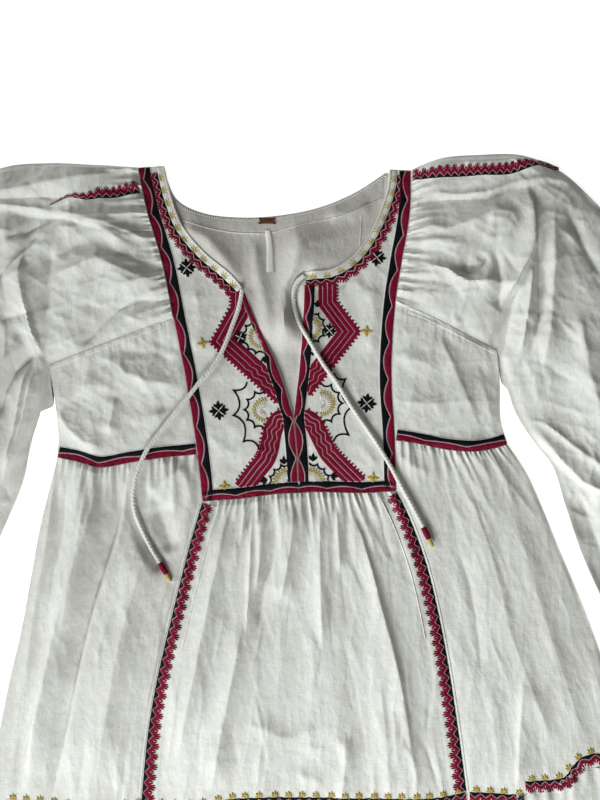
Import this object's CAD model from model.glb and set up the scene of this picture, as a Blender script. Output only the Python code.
"""A white cotton peasant dress with folk embroidery, laid flat: cloth, stitching, ties, light and camera.

Lengths are millimetres, unless a comment says metres, and a mesh is scaled to metres when it is made.
+X is to the right and +Y towards the neck, as seen from above. The origin is under the foot of the bib.
"""

import math

import bpy
import numpy as np
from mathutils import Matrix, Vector
from mathutils.bvhtree import BVHTree


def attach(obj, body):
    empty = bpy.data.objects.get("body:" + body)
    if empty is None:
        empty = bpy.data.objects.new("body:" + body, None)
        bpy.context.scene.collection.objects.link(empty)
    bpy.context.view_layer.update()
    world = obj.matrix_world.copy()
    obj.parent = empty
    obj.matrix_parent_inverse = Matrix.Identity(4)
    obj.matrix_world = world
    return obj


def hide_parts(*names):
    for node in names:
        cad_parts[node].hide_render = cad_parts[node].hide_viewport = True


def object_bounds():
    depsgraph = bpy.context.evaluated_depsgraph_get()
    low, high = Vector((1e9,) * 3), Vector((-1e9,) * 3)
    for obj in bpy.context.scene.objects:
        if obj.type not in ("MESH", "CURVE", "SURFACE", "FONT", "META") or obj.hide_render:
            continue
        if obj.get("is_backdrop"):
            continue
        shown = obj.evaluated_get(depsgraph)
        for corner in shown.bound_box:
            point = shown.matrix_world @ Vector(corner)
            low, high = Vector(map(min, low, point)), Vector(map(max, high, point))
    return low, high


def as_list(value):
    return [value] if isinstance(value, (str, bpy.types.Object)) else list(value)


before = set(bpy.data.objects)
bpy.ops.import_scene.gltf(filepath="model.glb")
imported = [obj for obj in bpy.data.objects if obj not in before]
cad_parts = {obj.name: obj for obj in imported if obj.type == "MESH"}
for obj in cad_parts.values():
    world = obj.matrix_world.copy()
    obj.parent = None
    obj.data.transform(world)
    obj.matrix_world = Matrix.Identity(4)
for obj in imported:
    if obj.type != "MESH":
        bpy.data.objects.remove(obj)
cad_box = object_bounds()

MM = 0.001

# Cloth
BACK_TOP = 1.2  # top of the back panels that rest on the surface
BACK_FACE = BACK_TOP - 0.1  # their faces as drawn here
REST = 1.5  # underside of the front where it lies on the back
FRONT_TOP = 1.4  # from the underside of a front panel to its face
SHELL = 0.9  # thickness of a front panel
SEAM_GAP = 0.3
SUPPLE = 6.0  # how far in from a seam the folds reach their full height
CRISP = 1.25  # 2 gives round folds, 1 sharp ones
DEEP = 1.3  # deepens the creases of the tables below
UNDER_STEP = 3  # points of a face for each point of its unseen underside
HIGHEST_FOLD = 20.0  # above this a fold is squeezed, so that it stays lower than a third more
GRID = (2.0, 2.0)  # spacing of a front panel's points, across and up
BACK_GRID = (6.0, 6.0)
BACK_SPREAD = 8  # how far the back of the tier reaches past its front, on the left
ABOVE = 90.0  # higher than any fold
DOWN = Vector((0, 0, -1))
PANEL_SHARP = 50  # angle in degrees above which an edge of a panel, or of a cuff, stays sharp
CUFF_SHARP = 60

# Bands sewn along the edges
TAPE_WIDTH = 13.0
SLIT_TAPE = 11.5
FOOT_WIDTH = 12.0
NECK_BAND = 8.5
NECK_BORDER = 11.5
STRIP_WIDTH = 14.0
TIER_STRIP = 15.0
WAIST_TAPE = 12.0
SCALLOP = 40.0  # repeat of the scalloped tapes
OUTLINE = 0.9  # pale line round the scallops
TOOTH = 10.4  # repeat of the toothed strips
NECK_TOOTH = 10.8
SHOULDER_TOOTH = 8.3
FLORET = 14.6  # repeat of the florets on the neck band and above the tier
FELL = 5.0  # width of the felled arm seam
# Petals of a spray: place in shares of the repeat, foot and tip in shares of the strip's width
SPRAY = ((0.0, 0.66, 1.02), (-0.17, 0.6, 0.95), (0.17, 0.6, 0.95), (-0.34, 0.46, 0.78), (0.34, 0.46, 0.78))
# Petals of a floret: turn in radians, length and width in shares of its size
FLORET_PETALS = ((0, 1.0, 0.46), (0.72, 0.9, 0.4), (-0.72, 0.9, 0.4), (1.35, 0.7, 0.36), (-1.35, 0.7, 0.36))

# Rows of the banded motifs on the bib
ROWS = 4
ROW_LINE = 0.7
ROW_WAVE = 1.3
ROW_PERIOD = 13.5
BOBBLE = 2.7
BOBBLE_STEP = 4.4
UNDER_TAPE = 4.0  # distance from the slit at which the motifs end, under its tape
WEB_LINE = 2.1
WEB_SAG = 0.24  # depth of a web's arcs, as a share of their span


def level(height, *places):
    """Rows of x, y and one height."""
    return [(x, y, height) for x, y in places]


# Seam lines as rows of x, y and the height of the cloth's underside
LEFT = {
    "bib_seam": [(-101, -7, 4), (-108, 52, 5), (-121, 128, 5), (-134, 190, 5), (-147, 252, 5),
                 (-164, 308, 4), (-176, 360, REST)],
    "slit": [(-4, 85, 4), (-20, 135, 3.5), (-44, 188, 3), (-59, 225, 3)],
    "neck": [(-59, 225, 3), (-73, 240, 3), (-100, 263, 3), (-123, 290, 3), (-137, 323, 2.5),
             (-147, 362, REST)],
    "arm_seam": [(-134, 190, 5), (-167, 177.5, 6), (-201, 164.5, 6), (-234, 152, 4), (-268, 139, REST)],
    "body_side": level(REST, (-257, 40), (-256, 60), (-260, 95), (-268, 139)),
    "waist": [(-257, 40, REST), (-237, 36, 3), (-210, 29, 5), (-178, 34, 5), (-146, 39, 5), (-107, 43, 5)],
    "skirt_side": [(-257, 40, REST), (-266, -56, 7), (-275, -119, 8), (-283, -190, 8), (-302, -327, REST)],
    "strip": [(-101, -7, 4), (-115, -58, 5), (-130, -120, 5), (-146, -191, 5), (-155, -247, 4),
              (-162, -331, 3)],
    "tier_seam": [(-302, -327, REST), (-262, -329, 3), (-215, -334, 3), (-162, -331, 3)],
    "hem": [(-324, -519, REST), (-240, -525, 2), (-166, -527, 2)],
    "underarm": level(0, (-268, 139), (-262.5, 95), (-277, 89)),
    "raglan": level(0, (-268, 139), (-222, 246), (-175, 357)),
    "back_skirt": level(0, (-257, 40), (-274, -36), (-281, -81), (-291, -144), (-302, -197), (-324, -327)),
    "arm_outer": level(REST, (-176, 360), (-226, 363), (-276, 365), (-325, 360), (-375, 332), (-415, 282),
                       (-445, 212), (-467, 125), (-480, 35), (-480, -50), (-468, -125)),
    "arm_inner": level(REST, (-268, 139), (-275, 92), (-286, 52), (-293, 14), (-313, -38), (-335, -90),
                       (-357, -133), (-372, -160)),
}
RIGHT = {
    "bib_seam": [(106, 4, 4), (105, 60, 5), (102, 130, 5), (107, 206, 5), (114, 250, 5), (124, 308, 4),
                 (126, 357, REST)],
    "slit": [(-4, 85, 4), (2, 135, 3.5), (6, 188, 3), (8, 241, 3)],
    "neck": [(8, 241, 3), (38, 245, 3), (63, 262, 3), (86, 298, 3), (99, 335, 2.5), (102, 358, REST)],
    "arm_seam": [(107, 206, 5), (134, 196, 6), (163, 182, 6), (192, 167, 4), (217, 155, REST)],
    "body_side": level(REST, (226, 54), (219, 80), (219, 120), (217, 155)),
    "waist": [(226, 54, REST), (210, 49, 3), (190, 46, 5), (160, 48, 5), (131, 54, 5), (105, 58, 5)],
    "skirt_side": level(REST, (226, 54), (246, 22), (277, -54), (303, -120), (327, -190), (362, -292)),
    "strip": [(106, 4, 4), (119, -23, 5), (136, -70, 5), (147, -115, 5), (158, -175, 5), (168, -245, 4),
              (177, -319, 3)],
    "tier_seam": [(362, -292, REST), (325, -283, 3), (300, -281, 4), (284, -288, 4), (268, -299, 4),
                  (244, -305, 4), (214, -313, 4), (177, -319, 3)],
    "hem": [(392, -490, REST), (285, -514, 2), (182, -525, 2)],
    "underarm": level(0, (217, 155), (220.5, 121), (228, 112)),
    "raglan": level(0, (217, 155), (170, 252), (124, 354)),
    "back_skirt": level(0, (226, 54), (246, 20), (275, -54), (300, -120), (324, -190), (358, -292)),
    "arm_outer": level(REST, (126, 357), (160, 370), (200, 374), (248, 374), (289, 357), (327, 322),
                       (366, 274), (402, 210), (428, 120), (444, 30), (446, -60), (430, -128)),
    "arm_inner": [(217, 155, REST), (226, 116, 2), (236, 85, 4), (254, 55, 6), (272, 30, 8), (283, -8, 9),
                  (300, -61, 8), (322, -112, 5), (342, -152, REST)],
}
BACK_NECK = level(0, (-147, 357), (-132, 324), (-103, 309), (-57, 304), (-15, 307), (26, 316), (65, 333),
                  (98, 355))
CENTRE = level(4, (1.5, 2), (0, 44), (-4, 85))
FOOT_LEFT = level(4, (-101, -7), (-59, -4), (-20, 1), (1.5, 2))
FOOT_RIGHT = level(4, (106, 4), (71, 2), (22, 3), (1.5, 2))
HALVES = (("left", LEFT, FOOT_LEFT, 1), ("right", RIGHT, FOOT_RIGHT, -1))  # the last is the sign of offsets
TIER_CENTRE = [(-162, -331, 3), (-108, -332, 4), (-60, -325, 4), (3, -324, 3), (90, -325, 4), (140, -325, 4),
               (177, -319, 3)]
HEM_CENTRE = [(-166, -527, 2), (-60, -526, 3), (8, -527, 2), (95, -527, 3), (182, -525, 2)]

# Main creases as (route, width to its left, width to its right, height); a height below 0 is a valley
CREASES = {
    "sleeve_left": [
        ([(-412, 252), (-388, 290), (-360, 314), (-325, 326), (-290, 333), (-255, 340), (-215, 349),
          (-180, 354)], 22, 12, 12.0),
        ([(-350, 316), (-310, 320), (-285, 322), (-255, 322)], 2.5, 2.5, -2.0),
        ([(-345, 314), (-310, 312), (-285, 309), (-264, 306)], 4, 2.5, 3.6),
        ([(-264, 307), (-235, 302), (-205, 303), (-168, 305)], 3, 4, 2.6),
        ([(-316, 306), (-286, 302), (-262, 299), (-236, 292), (-205, 284)], 3, 10, -4.5),
        ([(-318, 276), (-296, 284), (-276, 293), (-256, 300)], 8, 7, -6.0),
        ([(-238, 300), (-205, 292), (-182, 284), (-156, 272)], 4, 4, 3.0),
        ([(-264, 287), (-235, 292), (-212, 288), (-195, 277), (-176, 265)], 8, 14, 6.0),
        ([(-264, 254), (-240, 265), (-215, 266), (-190, 259), (-165, 252), (-142, 248)], 13, 6, -4.6),
        ([(-260, 234), (-237, 245), (-217, 253), (-198, 246), (-178, 238), (-146, 226)], 7, 20, 6.0),
        ([(-144, 209), (-172, 208), (-190, 201), (-204, 190), (-218, 176), (-236, 156)], 9, 9, -7.0),
        ([(-266, 270), (-268, 240), (-270, 205), (-272, 188)], 6, 8, -5.0),
        ([(-298, 262), (-297, 228), (-290, 195), (-283, 172), (-273, 147)], 2.6, 16, 8.0),
        ([(-338, 288), (-312, 284), (-294, 280)], 12, 14, 6.0),
        ([(-276, 286), (-292, 270), (-305, 256), (-318, 240), (-332, 224)], 8, 8, -6.0),
        ([(-320, 186), (-300, 192), (-286, 197)], 7, 6, -4.0),
        ([(-274, 161), (-290, 144), (-304, 130), (-314, 108), (-320, 78)], 6, 7, -7.0),
        ([(-290, 136), (-295, 107), (-301, 69), (-312, 20)], 5, 5, 6.0),
        ([(-281, 138), (-285, 118), (-292, 80), (-302, 42), (-316, 8)], 4, 4, 5.0),
        ([(-336, 118), (-319, 134), (-309, 153), (-294, 174)], 10, 10, 5.0),
        ([(-352, 262), (-350, 180), (-342, 60), (-352, -30)], 12, 10, 7.0),
        ([(-400, 230), (-400, 100), (-392, -40), (-404, -110)], 14, 12, 8.0),
        ([(-440, 170), (-446, 60), (-440, -50)], 12, 10, 6.0),
    ],
    "sleeve_right": [
        ([(126, 351), (170, 360), (215, 362), (255, 367), (292, 357)], 12, 20, 9.0),
        ([(126, 324), (148, 328), (176, 325), (209, 328), (235, 338), (272, 345), (316, 340)], 4, 3, 2.0),
        ([(126, 320), (167, 321), (209, 321), (236, 332), (276, 340)], 2.5, 10, -3.0),
        ([(120, 285), (148, 289), (162, 286), (190, 295), (214, 307), (232, 305), (244, 288)], 9, 9, 5.0),
        ([(205, 300), (226, 296), (238, 284)], 10, 18, 4.0),
        ([(172, 246), (188, 240), (200, 244), (209, 260)], 10, 5, -6.0),
        ([(132, 251), (148, 246), (162, 242), (173, 234), (184, 229), (222, 229)], 5, 9, 6.0),
        ([(252, 338), (258, 300), (257, 272), (246, 248), (232, 222), (221, 198)], 2.8, 9, 8.0),
        ([(212, 268), (219, 246), (219, 218), (216, 196)], 4, 6, -4.5),
        ([(257, 324), (261, 290), (263, 240), (262, 200), (254, 160)], 5, 5, -8.0),
        ([(256, 256), (248, 200), (239, 146)], 5, 5, 6.0),
        ([(240, 228), (234, 212), (230, 196), (225, 172), (220, 146)], 2.5, 10, -10.0),
        ([(280, 322), (277, 250), (272, 190), (262, 126)], 9, 10, 5.0),
        ([(295, 314), (305, 285), (318, 258), (332, 230)], 8, 8, -5.0),
        ([(246, 82), (265, 75), (291, 53), (312, 37), (342, 12)], 4, 4, 3.0),
        ([(241, 80), (261, 55), (282, 33), (301, 13), (330, -2), (372, -12)], 16, 3, 6.5),
        ([(298, 8), (308, -20), (324, -66), (344, -110)], 12, 16, -6.0),
        ([(300, 200), (310, 130), (330, 60)], 12, 10, 4.5),
        ([(362, 230), (376, 130), (384, 20), (388, -70)], 14, 12, 7.0),
        ([(408, 130), (418, 30), (412, -70)], 12, 10, 6.0),
    ],
    "side_left": [
        ([(-202, 147), (-185, 131), (-160, 121), (-122, 117)], 10, 12, 4.2),
        ([(-206, 155), (-180, 154), (-150, 152), (-128, 140)], 10, 8, -1.8),
        ([(-236, 118), (-215, 117), (-196, 112)], 12, 12, 3.0),
        ([(-195, 106), (-198, 85), (-201, 64)], 6, 7, 3.5),
        ([(-259, 93), (-246, 72), (-229, 57), (-206, 49)], 14, 8, 4.5),
        ([(-150, 92), (-146, 74), (-150, 56)], 8, 10, 2.5),
    ],
    "side_right": [
        ([(149, 180), (168, 138), (185, 98), (197, 66)], 5, 14, 2.2),
        ([(106, 156), (132, 143), (156, 131)], 14, 16, 2.4),
        ([(112, 100), (136, 96), (160, 97)], 14, 12, 2.2),
        ([(196, 130), (204, 100), (211, 68)], 7, 8, 1.8),
    ],
    "skirt_left": [
        ([(-246, 20), (-250, -40), (-258, -100), (-268, -170), (-279, -240), (-292, -318)], 6, 13, -8.0),
        ([(-222, 30), (-224, 0), (-228, -40), (-236, -90), (-245, -150)], 6, 6, 3.0),
        ([(-210, 24), (-214, 0), (-222, -40), (-234, -80), (-244, -110), (-254, -150), (-262, -195),
          (-272, -245), (-281, -312)], 16, 16, 9.5),
        ([(-180, 24), (-184, 0), (-192, -40), (-204, -82), (-213, -112), (-223, -152), (-231, -192),
          (-241, -242), (-252, -312)], 2.4, 12, -9.0),
        ([(-148, -24), (-156, -50), (-174, -112), (-184, -152), (-191, -192), (-199, -242),
          (-208, -312)], 18, 30, 8.0),
        ([(-116, 32), (-140, 16), (-158, -2)], 14, 10, 4.0),
        ([(-150, -8), (-140, -35), (-132, -62)], 12, 14, -4.0),
    ],
    "skirt_centre": [
        ([(-73, -14), (-81, -60), (-90, -100), (-99, -145), (-106, -185), (-114, -225),
          (-126, -280)], 12, 12, 7.0),
        ([(-55, -124), (-64, -175), (-72, -215), (-80, -255), (-89, -312)], 10, 14, 6.5),
        ([(-47, -10), (-49, -60), (-51, -110), (-54, -152)], 5, 3, 3.0),
        ([(-33, -12), (-38, -60), (-43, -104)], 4, 5, 3.5),
        ([(-24, -12), (-30, -60), (-37, -110), (-41, -144)], 6, 6, -4.0),
        ([(-4, -8), (-6, -50), (-12, -85), (-19, -116)], 8, 10, 5.5),
        ([(24, -8), (24, -60), (25, -120), (27, -166)], 7, 6, 4.0),
        ([(42, -8), (43, -40), (46, -84)], 4, 5, 3.0),
        ([(54, -10), (68, -42), (79, -80), (89, -120), (99, -156), (107, -192), (114, -232),
          (122, -292)], 3, 14, 4.5),
        ([(-57, -236), (-32, -240), (-20, -249), (-4, -250), (12, -243), (30, -240)], 9, 14, 2.2),
        ([(8, -257), (30, -263)], 4, 7, 1.0),
        ([(-2, -285), (14, -290), (28, -297)], 5, 8, 1.4),
        ([(50, -244), (49, -285), (44, -320)], 8, 6, 4.0),
        ([(-112, -60), (-122, -110), (-133, -170)], 7, 8, 3.0),
        ([(86, -190), (92, -250), (96, -318)], 9, 10, 3.0),
    ],
    "skirt_right": [
        ([(150, 46), (170, 18), (188, -14), (202, -52), (213, -95), (222, -140), (236, -180), (250, -218),
          (264, -252), (274, -284)], 7, 12, 2.0),
        ([(206, 44), (222, 18), (240, -6), (258, -30)], 6, 12, 1.8),
        ([(212, 20), (228, -20), (241, -60), (251, -100), (263, -140), (277, -185), (291, -230),
          (303, -268)], 8, 12, 1.6),
        ([(170, -56), (182, -95), (188, -130), (191, -160), (192, -196)], 7, 7, -2.0),
        ([(106, 46), (122, 31), (142, 22)], 8, 10, 2.0),
        ([(236, -186), (230, -240), (227, -306)], 16, 3, 3.0),
        ([(200, -196), (206, -250), (208, -308)], 10, 10, 1.5),
        ([(300, -150), (318, -210), (336, -276)], 10, 10, 1.4),
    ],
    "tier": [
        ([(-262, -336), (-278, -430), (-290, -512)], 14, 10, 6.0),
        ([(-190, -338), (-196, -430), (-206, -518)], 10, 14, 5.0),
        ([(-120, -338), (-128, -430), (-138, -520)], 14, 14, 6.0),
        ([(-30, -332), (-26, -430), (-32, -522)], 12, 12, 5.0),
        ([(56, -332), (66, -430), (72, -522)], 14, 10, 6.0),
        ([(140, -332), (152, -430), (160, -520)], 12, 12, 5.5),
        ([(238, -312), (262, -410), (276, -508)], 14, 12, 6.0),
        ([(318, -292), (346, -390), (362, -488)], 12, 12, 5.5),
    ],
    "bib_left": [
        ([(-98, 66), (-78, 50), (-62, 44)], 7, 9, 1.6),
        ([(-112, 150), (-104, 190), (-112, 226)], 10, 12, 2.0),
        ([(-90, 120), (-84, 145), (-92, 168)], 9, 8, 1.5),
        ([(-130, 290), (-128, 262), (-118, 232)], 8, 8, 1.5),
    ],
    "bib_right": [
        ([(62, 60), (76, 44), (86, 30)], 8, 8, 1.6),
        ([(76, 150), (84, 190), (80, 228)], 12, 10, 2.0),
        ([(58, 236), (72, 222), (90, 216)], 8, 10, 1.5),
    ],
    "neck_inside": [
        ([(-4, 296), (2, 270), (-5, 235), (-14, 190), (-14, 150)], 46, 10, 12.0),
        ([(-134, 296), (-100, 280), (-76, 252), (-58, 222)], 14, 16, 7.0),
        ([(-46, 284), (-44, 250), (-34, 206), (-26, 160)], 9, 12, 5.0),
        ([(30, 306), (58, 308), (84, 318)], 8, 10, 3.0),
    ],
}

# Motifs of the bib, each half set out on its own
# Bands: corners, curved or not, row width and the share of the length where their lines turn wavy
# Wheels: centre, radius, facing and half spread in degrees; rings: the same with a number of arcs
# Webs: centre and cusps; sprigs, snowflakes and stars: centre, size and turn in degrees
MOTIFS = {
    "left": {
        "bands": [
            ([(-61, 226), (-61, 201), (-80, 166), (-13, 105)], False, 5.0, 0.62),
            ([(-10, 82), (-17, 81), (-23, 75), (-27, 64), (-29, 52), (-33, 39), (-43, 26), (-58, 6)],
             True, 4.6, -0.6),
        ],
        "wheels": [((-35, 91), 10.6, 180, 100), ((-39, 171), 11.0, 200, 88), ((-9, 12), 14.0, 135, 46)],
        "rings": [((-35, 91), 21.5, 180, 92, 6), ((-40, 171), 19.5, 200, 84, 6),
                  ((-8, 11), 22.5, 136, 44, 4)],
        "webs": [((-32, 91), [(-54, 121), (-68, 112), (-68, 85), (-57, 57), (-40, 48)])],
        "sprigs": [((-35, 145), 8.0, 285), ((-14, 37), 9.0, 95), ((-36, 15), 9.0, 190)],
        "snowflakes": [((-120, 246), 10.6, 8), ((-84, 90), 10.8, 6), ((-62, 170), 8.4, 20)],
        "stars": [((-102, 163), 6.4, 12), ((-77, 9), 6.4, 4)],
    },
    "right": {
        "bands": [
            ([(33, 228), (33, 207), (56, 176), (6, 112)], False, 4.5, 0.62),
            ([(4, 81), (11, 81), (18, 75), (23, 65), (29, 53), (34, 44), (46, 31), (66, 11)],
             True, 4.4, -0.6),
        ],
        "wheels": [((27, 98), 11.4, 0, 100), ((14, 180), 10.0, 0, 80), ((13, 12), 14.0, 45, 46)],
        "rings": [((26, 98), 22.5, 0, 92, 6), ((13, 180), 18.0, 0, 84, 6), ((13, 11), 23.0, 46, 44, 4)],
        "webs": [((22, 97), [(40, 131), (52, 124), (59, 94), (55, 64), (39, 57)])],
        "sprigs": [((22, 206), 8.0, 86), ((14, 151), 8.0, 262), ((17, 40), 9.0, 85), ((40, 20), 9.0, -8)],
        "snowflakes": [((87, 258), 10.6, -8), ((75, 98), 10.8, -6), ((35, 177), 8.4, -4)],
        "stars": [((75, 176), 6.4, -6), ((81, 18), 6.4, -4)],
    },
}

# Shoulder strips: line of the dark edge, width at each of its points, and the side that the sprays point to
SHOULDER = {
    "left": (
        [(-172, 330), (-197, 323), (-216, 322), (-229, 320), (-249, 321), (-268, 313)],
        [15.0, 14.0, 13.0, 8.0, 3.5, 1.6], -1),
    "right": (
        [(127, 343), (157, 344), (199, 346), (232, 348), (265, 358), (289, 356)],
        [13.4, 13.8, 13.8, 13.6, 11.5, 4.5], 1),
}

# Lower edges of the two lengths of strip on the right of the tier, where the cloth is tucked between them
TIER_RIGHT = [
    level(0, (177, -319), (205, -320), (234, -322)),
    level(0, (235, -308), (268, -306), (281, -303), (289, -297), (297, -286), (305, -281), (325, -282),
          (362, -292)),
]

SLIT_END = {"left": 3.0, "right": 15.0}  # how far below the neck corner the slit tapes end
SLIT_WIDTHS = {  # places above the slit's foot, and how much of the tape shows there
    "left": ([0, 55, 80, 150], [11.5, 11.5, 6.5, 6.0]),
    "right": ([0, 150], [11.5, 12.0]),
}

# Inside of the back neck
FACING_SEAM = level(0, (-131, 302), (-101, 292), (-71, 287), (-52, 286), (-32, 286), (-13, 291), (14, 298),
                    (53, 306), (94, 326))
FACING_FROM = 0.12  # where the facing starts and ends, as shares of the back neck
FACING_TO = 0.985
BACK_SEAM = level(0, (71, 306), (70, 290), (69, 277), (70, 262))
PLATE = (-33.0, 300.0, 20.0, 7.0, 1.8)  # x, y, width, height and depth of the notches
RIBBON = [(-32, 289), (-28, 242)]

# Ties in metres, from the neck corner to the wound end, along the middle of the cord
TIE_DIAMETER = 0.005
TIE_ROUTES = {
    "left": [
        (-0.0595, 0.222, 0.009), (-0.061, 0.212, 0.009), (-0.064, 0.199, 0.0086), (-0.070, 0.182, 0.0084),
        (-0.079, 0.158, 0.0088), (-0.089, 0.139, 0.0094), (-0.104, 0.121, 0.0109), (-0.119, 0.101, 0.0104),
        (-0.134, 0.082, 0.0106), (-0.148, 0.064, 0.0106), (-0.160, 0.047, 0.0113), (-0.168, 0.028, 0.0115),
        (-0.173, 0.005, 0.0112), (-0.172, -0.014, 0.0112), (-0.166, -0.031, 0.0112), (-0.155, -0.053, 0.0112),
        (-0.144, -0.071, 0.0112),
    ],
    "right": [
        (0.008, 0.237, 0.009), (0.001, 0.232, 0.007), (-0.0035, 0.222, 0.0052), (-0.0035, 0.206, 0.005),
        (0.002, 0.186, 0.008), (0.009, 0.173, 0.0094), (0.016, 0.161, 0.0094), (0.029, 0.139, 0.0087),
        (0.042, 0.121, 0.0089), (0.057, 0.096, 0.0092), (0.072, 0.074, 0.0094), (0.086, 0.053, 0.0096),
        (0.099, 0.031, 0.0107), (0.111, 0.008, 0.0108), (0.124, -0.016, 0.0111), (0.133, -0.034, 0.0114),
    ],
}

# Wound end and tuft of a tie, and the length of one turn of its cord
WRAP_LENGTH = 13.0
TUFT_LENGTH = 9.0
TWIST = 8.0

CUFF = (1.6, 9.0, 45.0)  # wall, height and length

# Creases
CREASE_REACH = 4.5  # widths from its middle at which a crease has died out
UNEVEN_WAVES = ((14.0, 2.4), (23.0, 1.7))  # length of each wave along it, and its shift for the next crease
UNEVEN_WIDTH = 0.08
UNEVEN_HEIGHT = 0.05
LEFT_AT_ENDS = 0.12  # share of the height left at both ends
RUN_OUT = 0.22  # share of the length over which it falls to that

# Small creases: ranges of length and height as shares of the greatest, of bend and of the two flanks' widths
SMALL_LENGTH = (0.25, 1.0)
SMALL_HEIGHT = (0.35, 1.15)
SMALL_BEND = 0.08
SMALL_WAYS = (-1.0, 1.0, 1.0)  # one valley to two ridges
SMALL_WIDTHS = ((1.8, 4.0), (3.0, 7.5))

# Gathers: ranges of shift and width in spacings, of length and height as shares of the given, and of lean
GATHER_SHIFT = (-0.3, 0.3)
GATHER_LENGTH = (0.35, 1.4)
GATHER_HEIGHT = (0.45, 1.15)
GATHER_WIDTH = (0.2, 0.36)
GATHER_LEAN = (-0.12, 0.12)

# Waves: their number, shortest and longest length, and ranges of their directions
RIPPLES = (11, 18.0, 80.0)
CRUMPLES = (12, 16.0, 46.0)
ANY_WAY = (0.0, math.pi)
UPRIGHT = (-0.35, 0.35)  # with crests that run up and down

# Ties: how far the cloth stays below a cord, and how far beside it the cloth still rises or sinks
TIE_CLEARANCE = 0.9
TIE_SEAT = 2.0  # half width of the seat
TIE_REACH = 6.0

# Valleys: the share of their depth that is left below the height at rest, and how deep they may go
VALLEY = 0.25
DEEPEST = 0.1

# Shifts of a panel's seed for its other random draws
CRUMPLE_SEED = 500
PUCKER_SEED = 100
SMALL_SEED = 900

# Gathers as number, reach and height
SLEEVE_GATHERS = (18, 44, 4.2)
SLEEVE_PUCKERS = (42, 18, 2.7)
CUFF_GATHERS = (13, 60, 3.6)
TIER_GATHERS = (46, 55, 2.4)
HEM_GATHERS = (27, 190, 5.0)
PUCKER_STEP = 4.8  # spacing and reach of the puckers at the other seams
PUCKER_REACH = 15

# Sleeves
SLEEVE_LOFT = 12.0
SLEEVE_LENGTH = 600.0  # about the length of a sleeve
SLEEVE_RISE = 42.0  # length over which the loft rises from the bib seam
SLACK = {"left": 0.0, "right": 0.9}  # how much a sleeve flattens along the arm
SLACK_FROM = 0.34  # share of the length where it starts to

# Heights of wrinkles and gathers that differ from side to side; the right lies smoother
SIDE_WRINKLES = {"left": 0.8, "right": 0.5}
SKIRT_WRINKLES = {"left": 0.9, "right": 0.35}
SKIRT_GATHERS = {"left": 3.0, "right": 1.5}

SKIRT_GRID = (1.3, 2.4)  # spacing of the points of the skirt's front
LOWER_EDGE = np.s_[0, :]  # the first row of a panel's points
SIDE_EDGE = np.s_[:, 0]  # the first column

# Noises of cotton and of thread, each as stretch, scale and detail
WARP = ((1.0, 0.09, 0.3), 1300, 2.0)
WEFT = ((0.07, 1.0, 0.3), 1200, 2.0)
CLOUD = ((1.0, 1.0, 1.0), 30, 4.0)
STREAK = ((1.0, 0.02, 0.3), 110, 3.0)
CRINKLE = ((1.0, 0.7, 1.0), 130, 4.0)
CRINKLE_HEIGHT = 8.0  # in heights of a thread
STRANDS = ((1.0, 0.12, 1.0), 1500, 1.0)
THREAD_CLOUD = ((1.0, 1.0, 1.0), 260, 3.0)

# A light and a dark tone of each cotton and thread
COTTONS = {
    "cotton": ("cotton", (0.87, 0.885, 0.86), (0.71, 0.715, 0.68)),
    "inside": ("cotton_inside", (0.74, 0.735, 0.70), (0.60, 0.59, 0.55)),
    "facing": ("cotton_facing", (0.68, 0.665, 0.645), (0.54, 0.52, 0.50)),
}
THREADS = {
    "white": ("white_thread", (0.86, 0.85, 0.81), (0.66, 0.65, 0.60)),
    "crimson": ("crimson_thread", (0.30, 0.007, 0.042), (0.13, 0.003, 0.017)),
    "navy": ("navy_thread", (0.007, 0.008, 0.014), (0.002, 0.002, 0.004)),
    "yellow": ("yellow_thread", (0.62, 0.51, 0.16), (0.38, 0.29, 0.07)),
    "straw": ("straw_thread", (0.60, 0.53, 0.20), (0.40, 0.34, 0.10)),
    "orange": ("orange_thread", (0.44, 0.20, 0.03), (0.24, 0.10, 0.01)),
    "pale": ("pale_thread", (0.66, 0.40, 0.44), (0.42, 0.20, 0.25)),
    "satin": ("satin_label", (0.95, 0.95, 0.94), (0.86, 0.86, 0.84)),
    "brown": ("brown_label", (0.16, 0.085, 0.040), (0.07, 0.035, 0.016)),
}

# Slots of the stitching
CRIMSON = "crimson_embroidery"
BLUE = "dark_blue_embroidery"

# Floor and light, with places in metres
FLOOR_HALF = 3.0
FLOOR_DROP = 0.3  # in millimetres, so that the back doesn't touch it
FLOOR_COLOUR = (0.93, 0.93, 0.93)
FLOOR_GLOW = 0.75
ROOM_COLOUR = (1.0, 0.94, 0.83)
ROOM_STRENGTH = 0.12
DAYLIGHT = (0.975, 1.0, 0.985)
KEY_PLACE = (-0.30, -1.55, 0.85)
KEY_POWER = 25.5
KEY_SIZE = 0.7
SIDE_PLACE = (-1.0, -0.12, 0.44)
SIDE_POWER = 1.75
SIDE_SPREAD = math.radians(30)

# Camera in metres: tilted a little from straight above, framed on the neck and bib
CAMERA_TARGET = (0.0032, 0.1022, 0.0)
CAMERA_DISTANCE = 1.08
CAMERA_TILT = math.radians(6.0)
CAMERA_LENS = 45.0


# Curves and patches


def unit(vectors):
    vectors = np.asarray(vectors, float)
    return vectors / np.linalg.norm(vectors, axis=-1, keepdims=True)


def left_of(vectors):
    """Plan vectors turned a quarter to the left."""
    return np.stack([-vectors[..., 1], vectors[..., 0]], axis=-1)


def heading(degrees):
    """A plan direction, counted from +X."""
    return np.array([math.cos(math.radians(degrees)), math.sin(math.radians(degrees))])


def run_of(points):
    """Length along a line up to each of its points."""
    return np.concatenate([[0], np.cumsum(np.linalg.norm(np.diff(points, axis=0), axis=1))])


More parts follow.
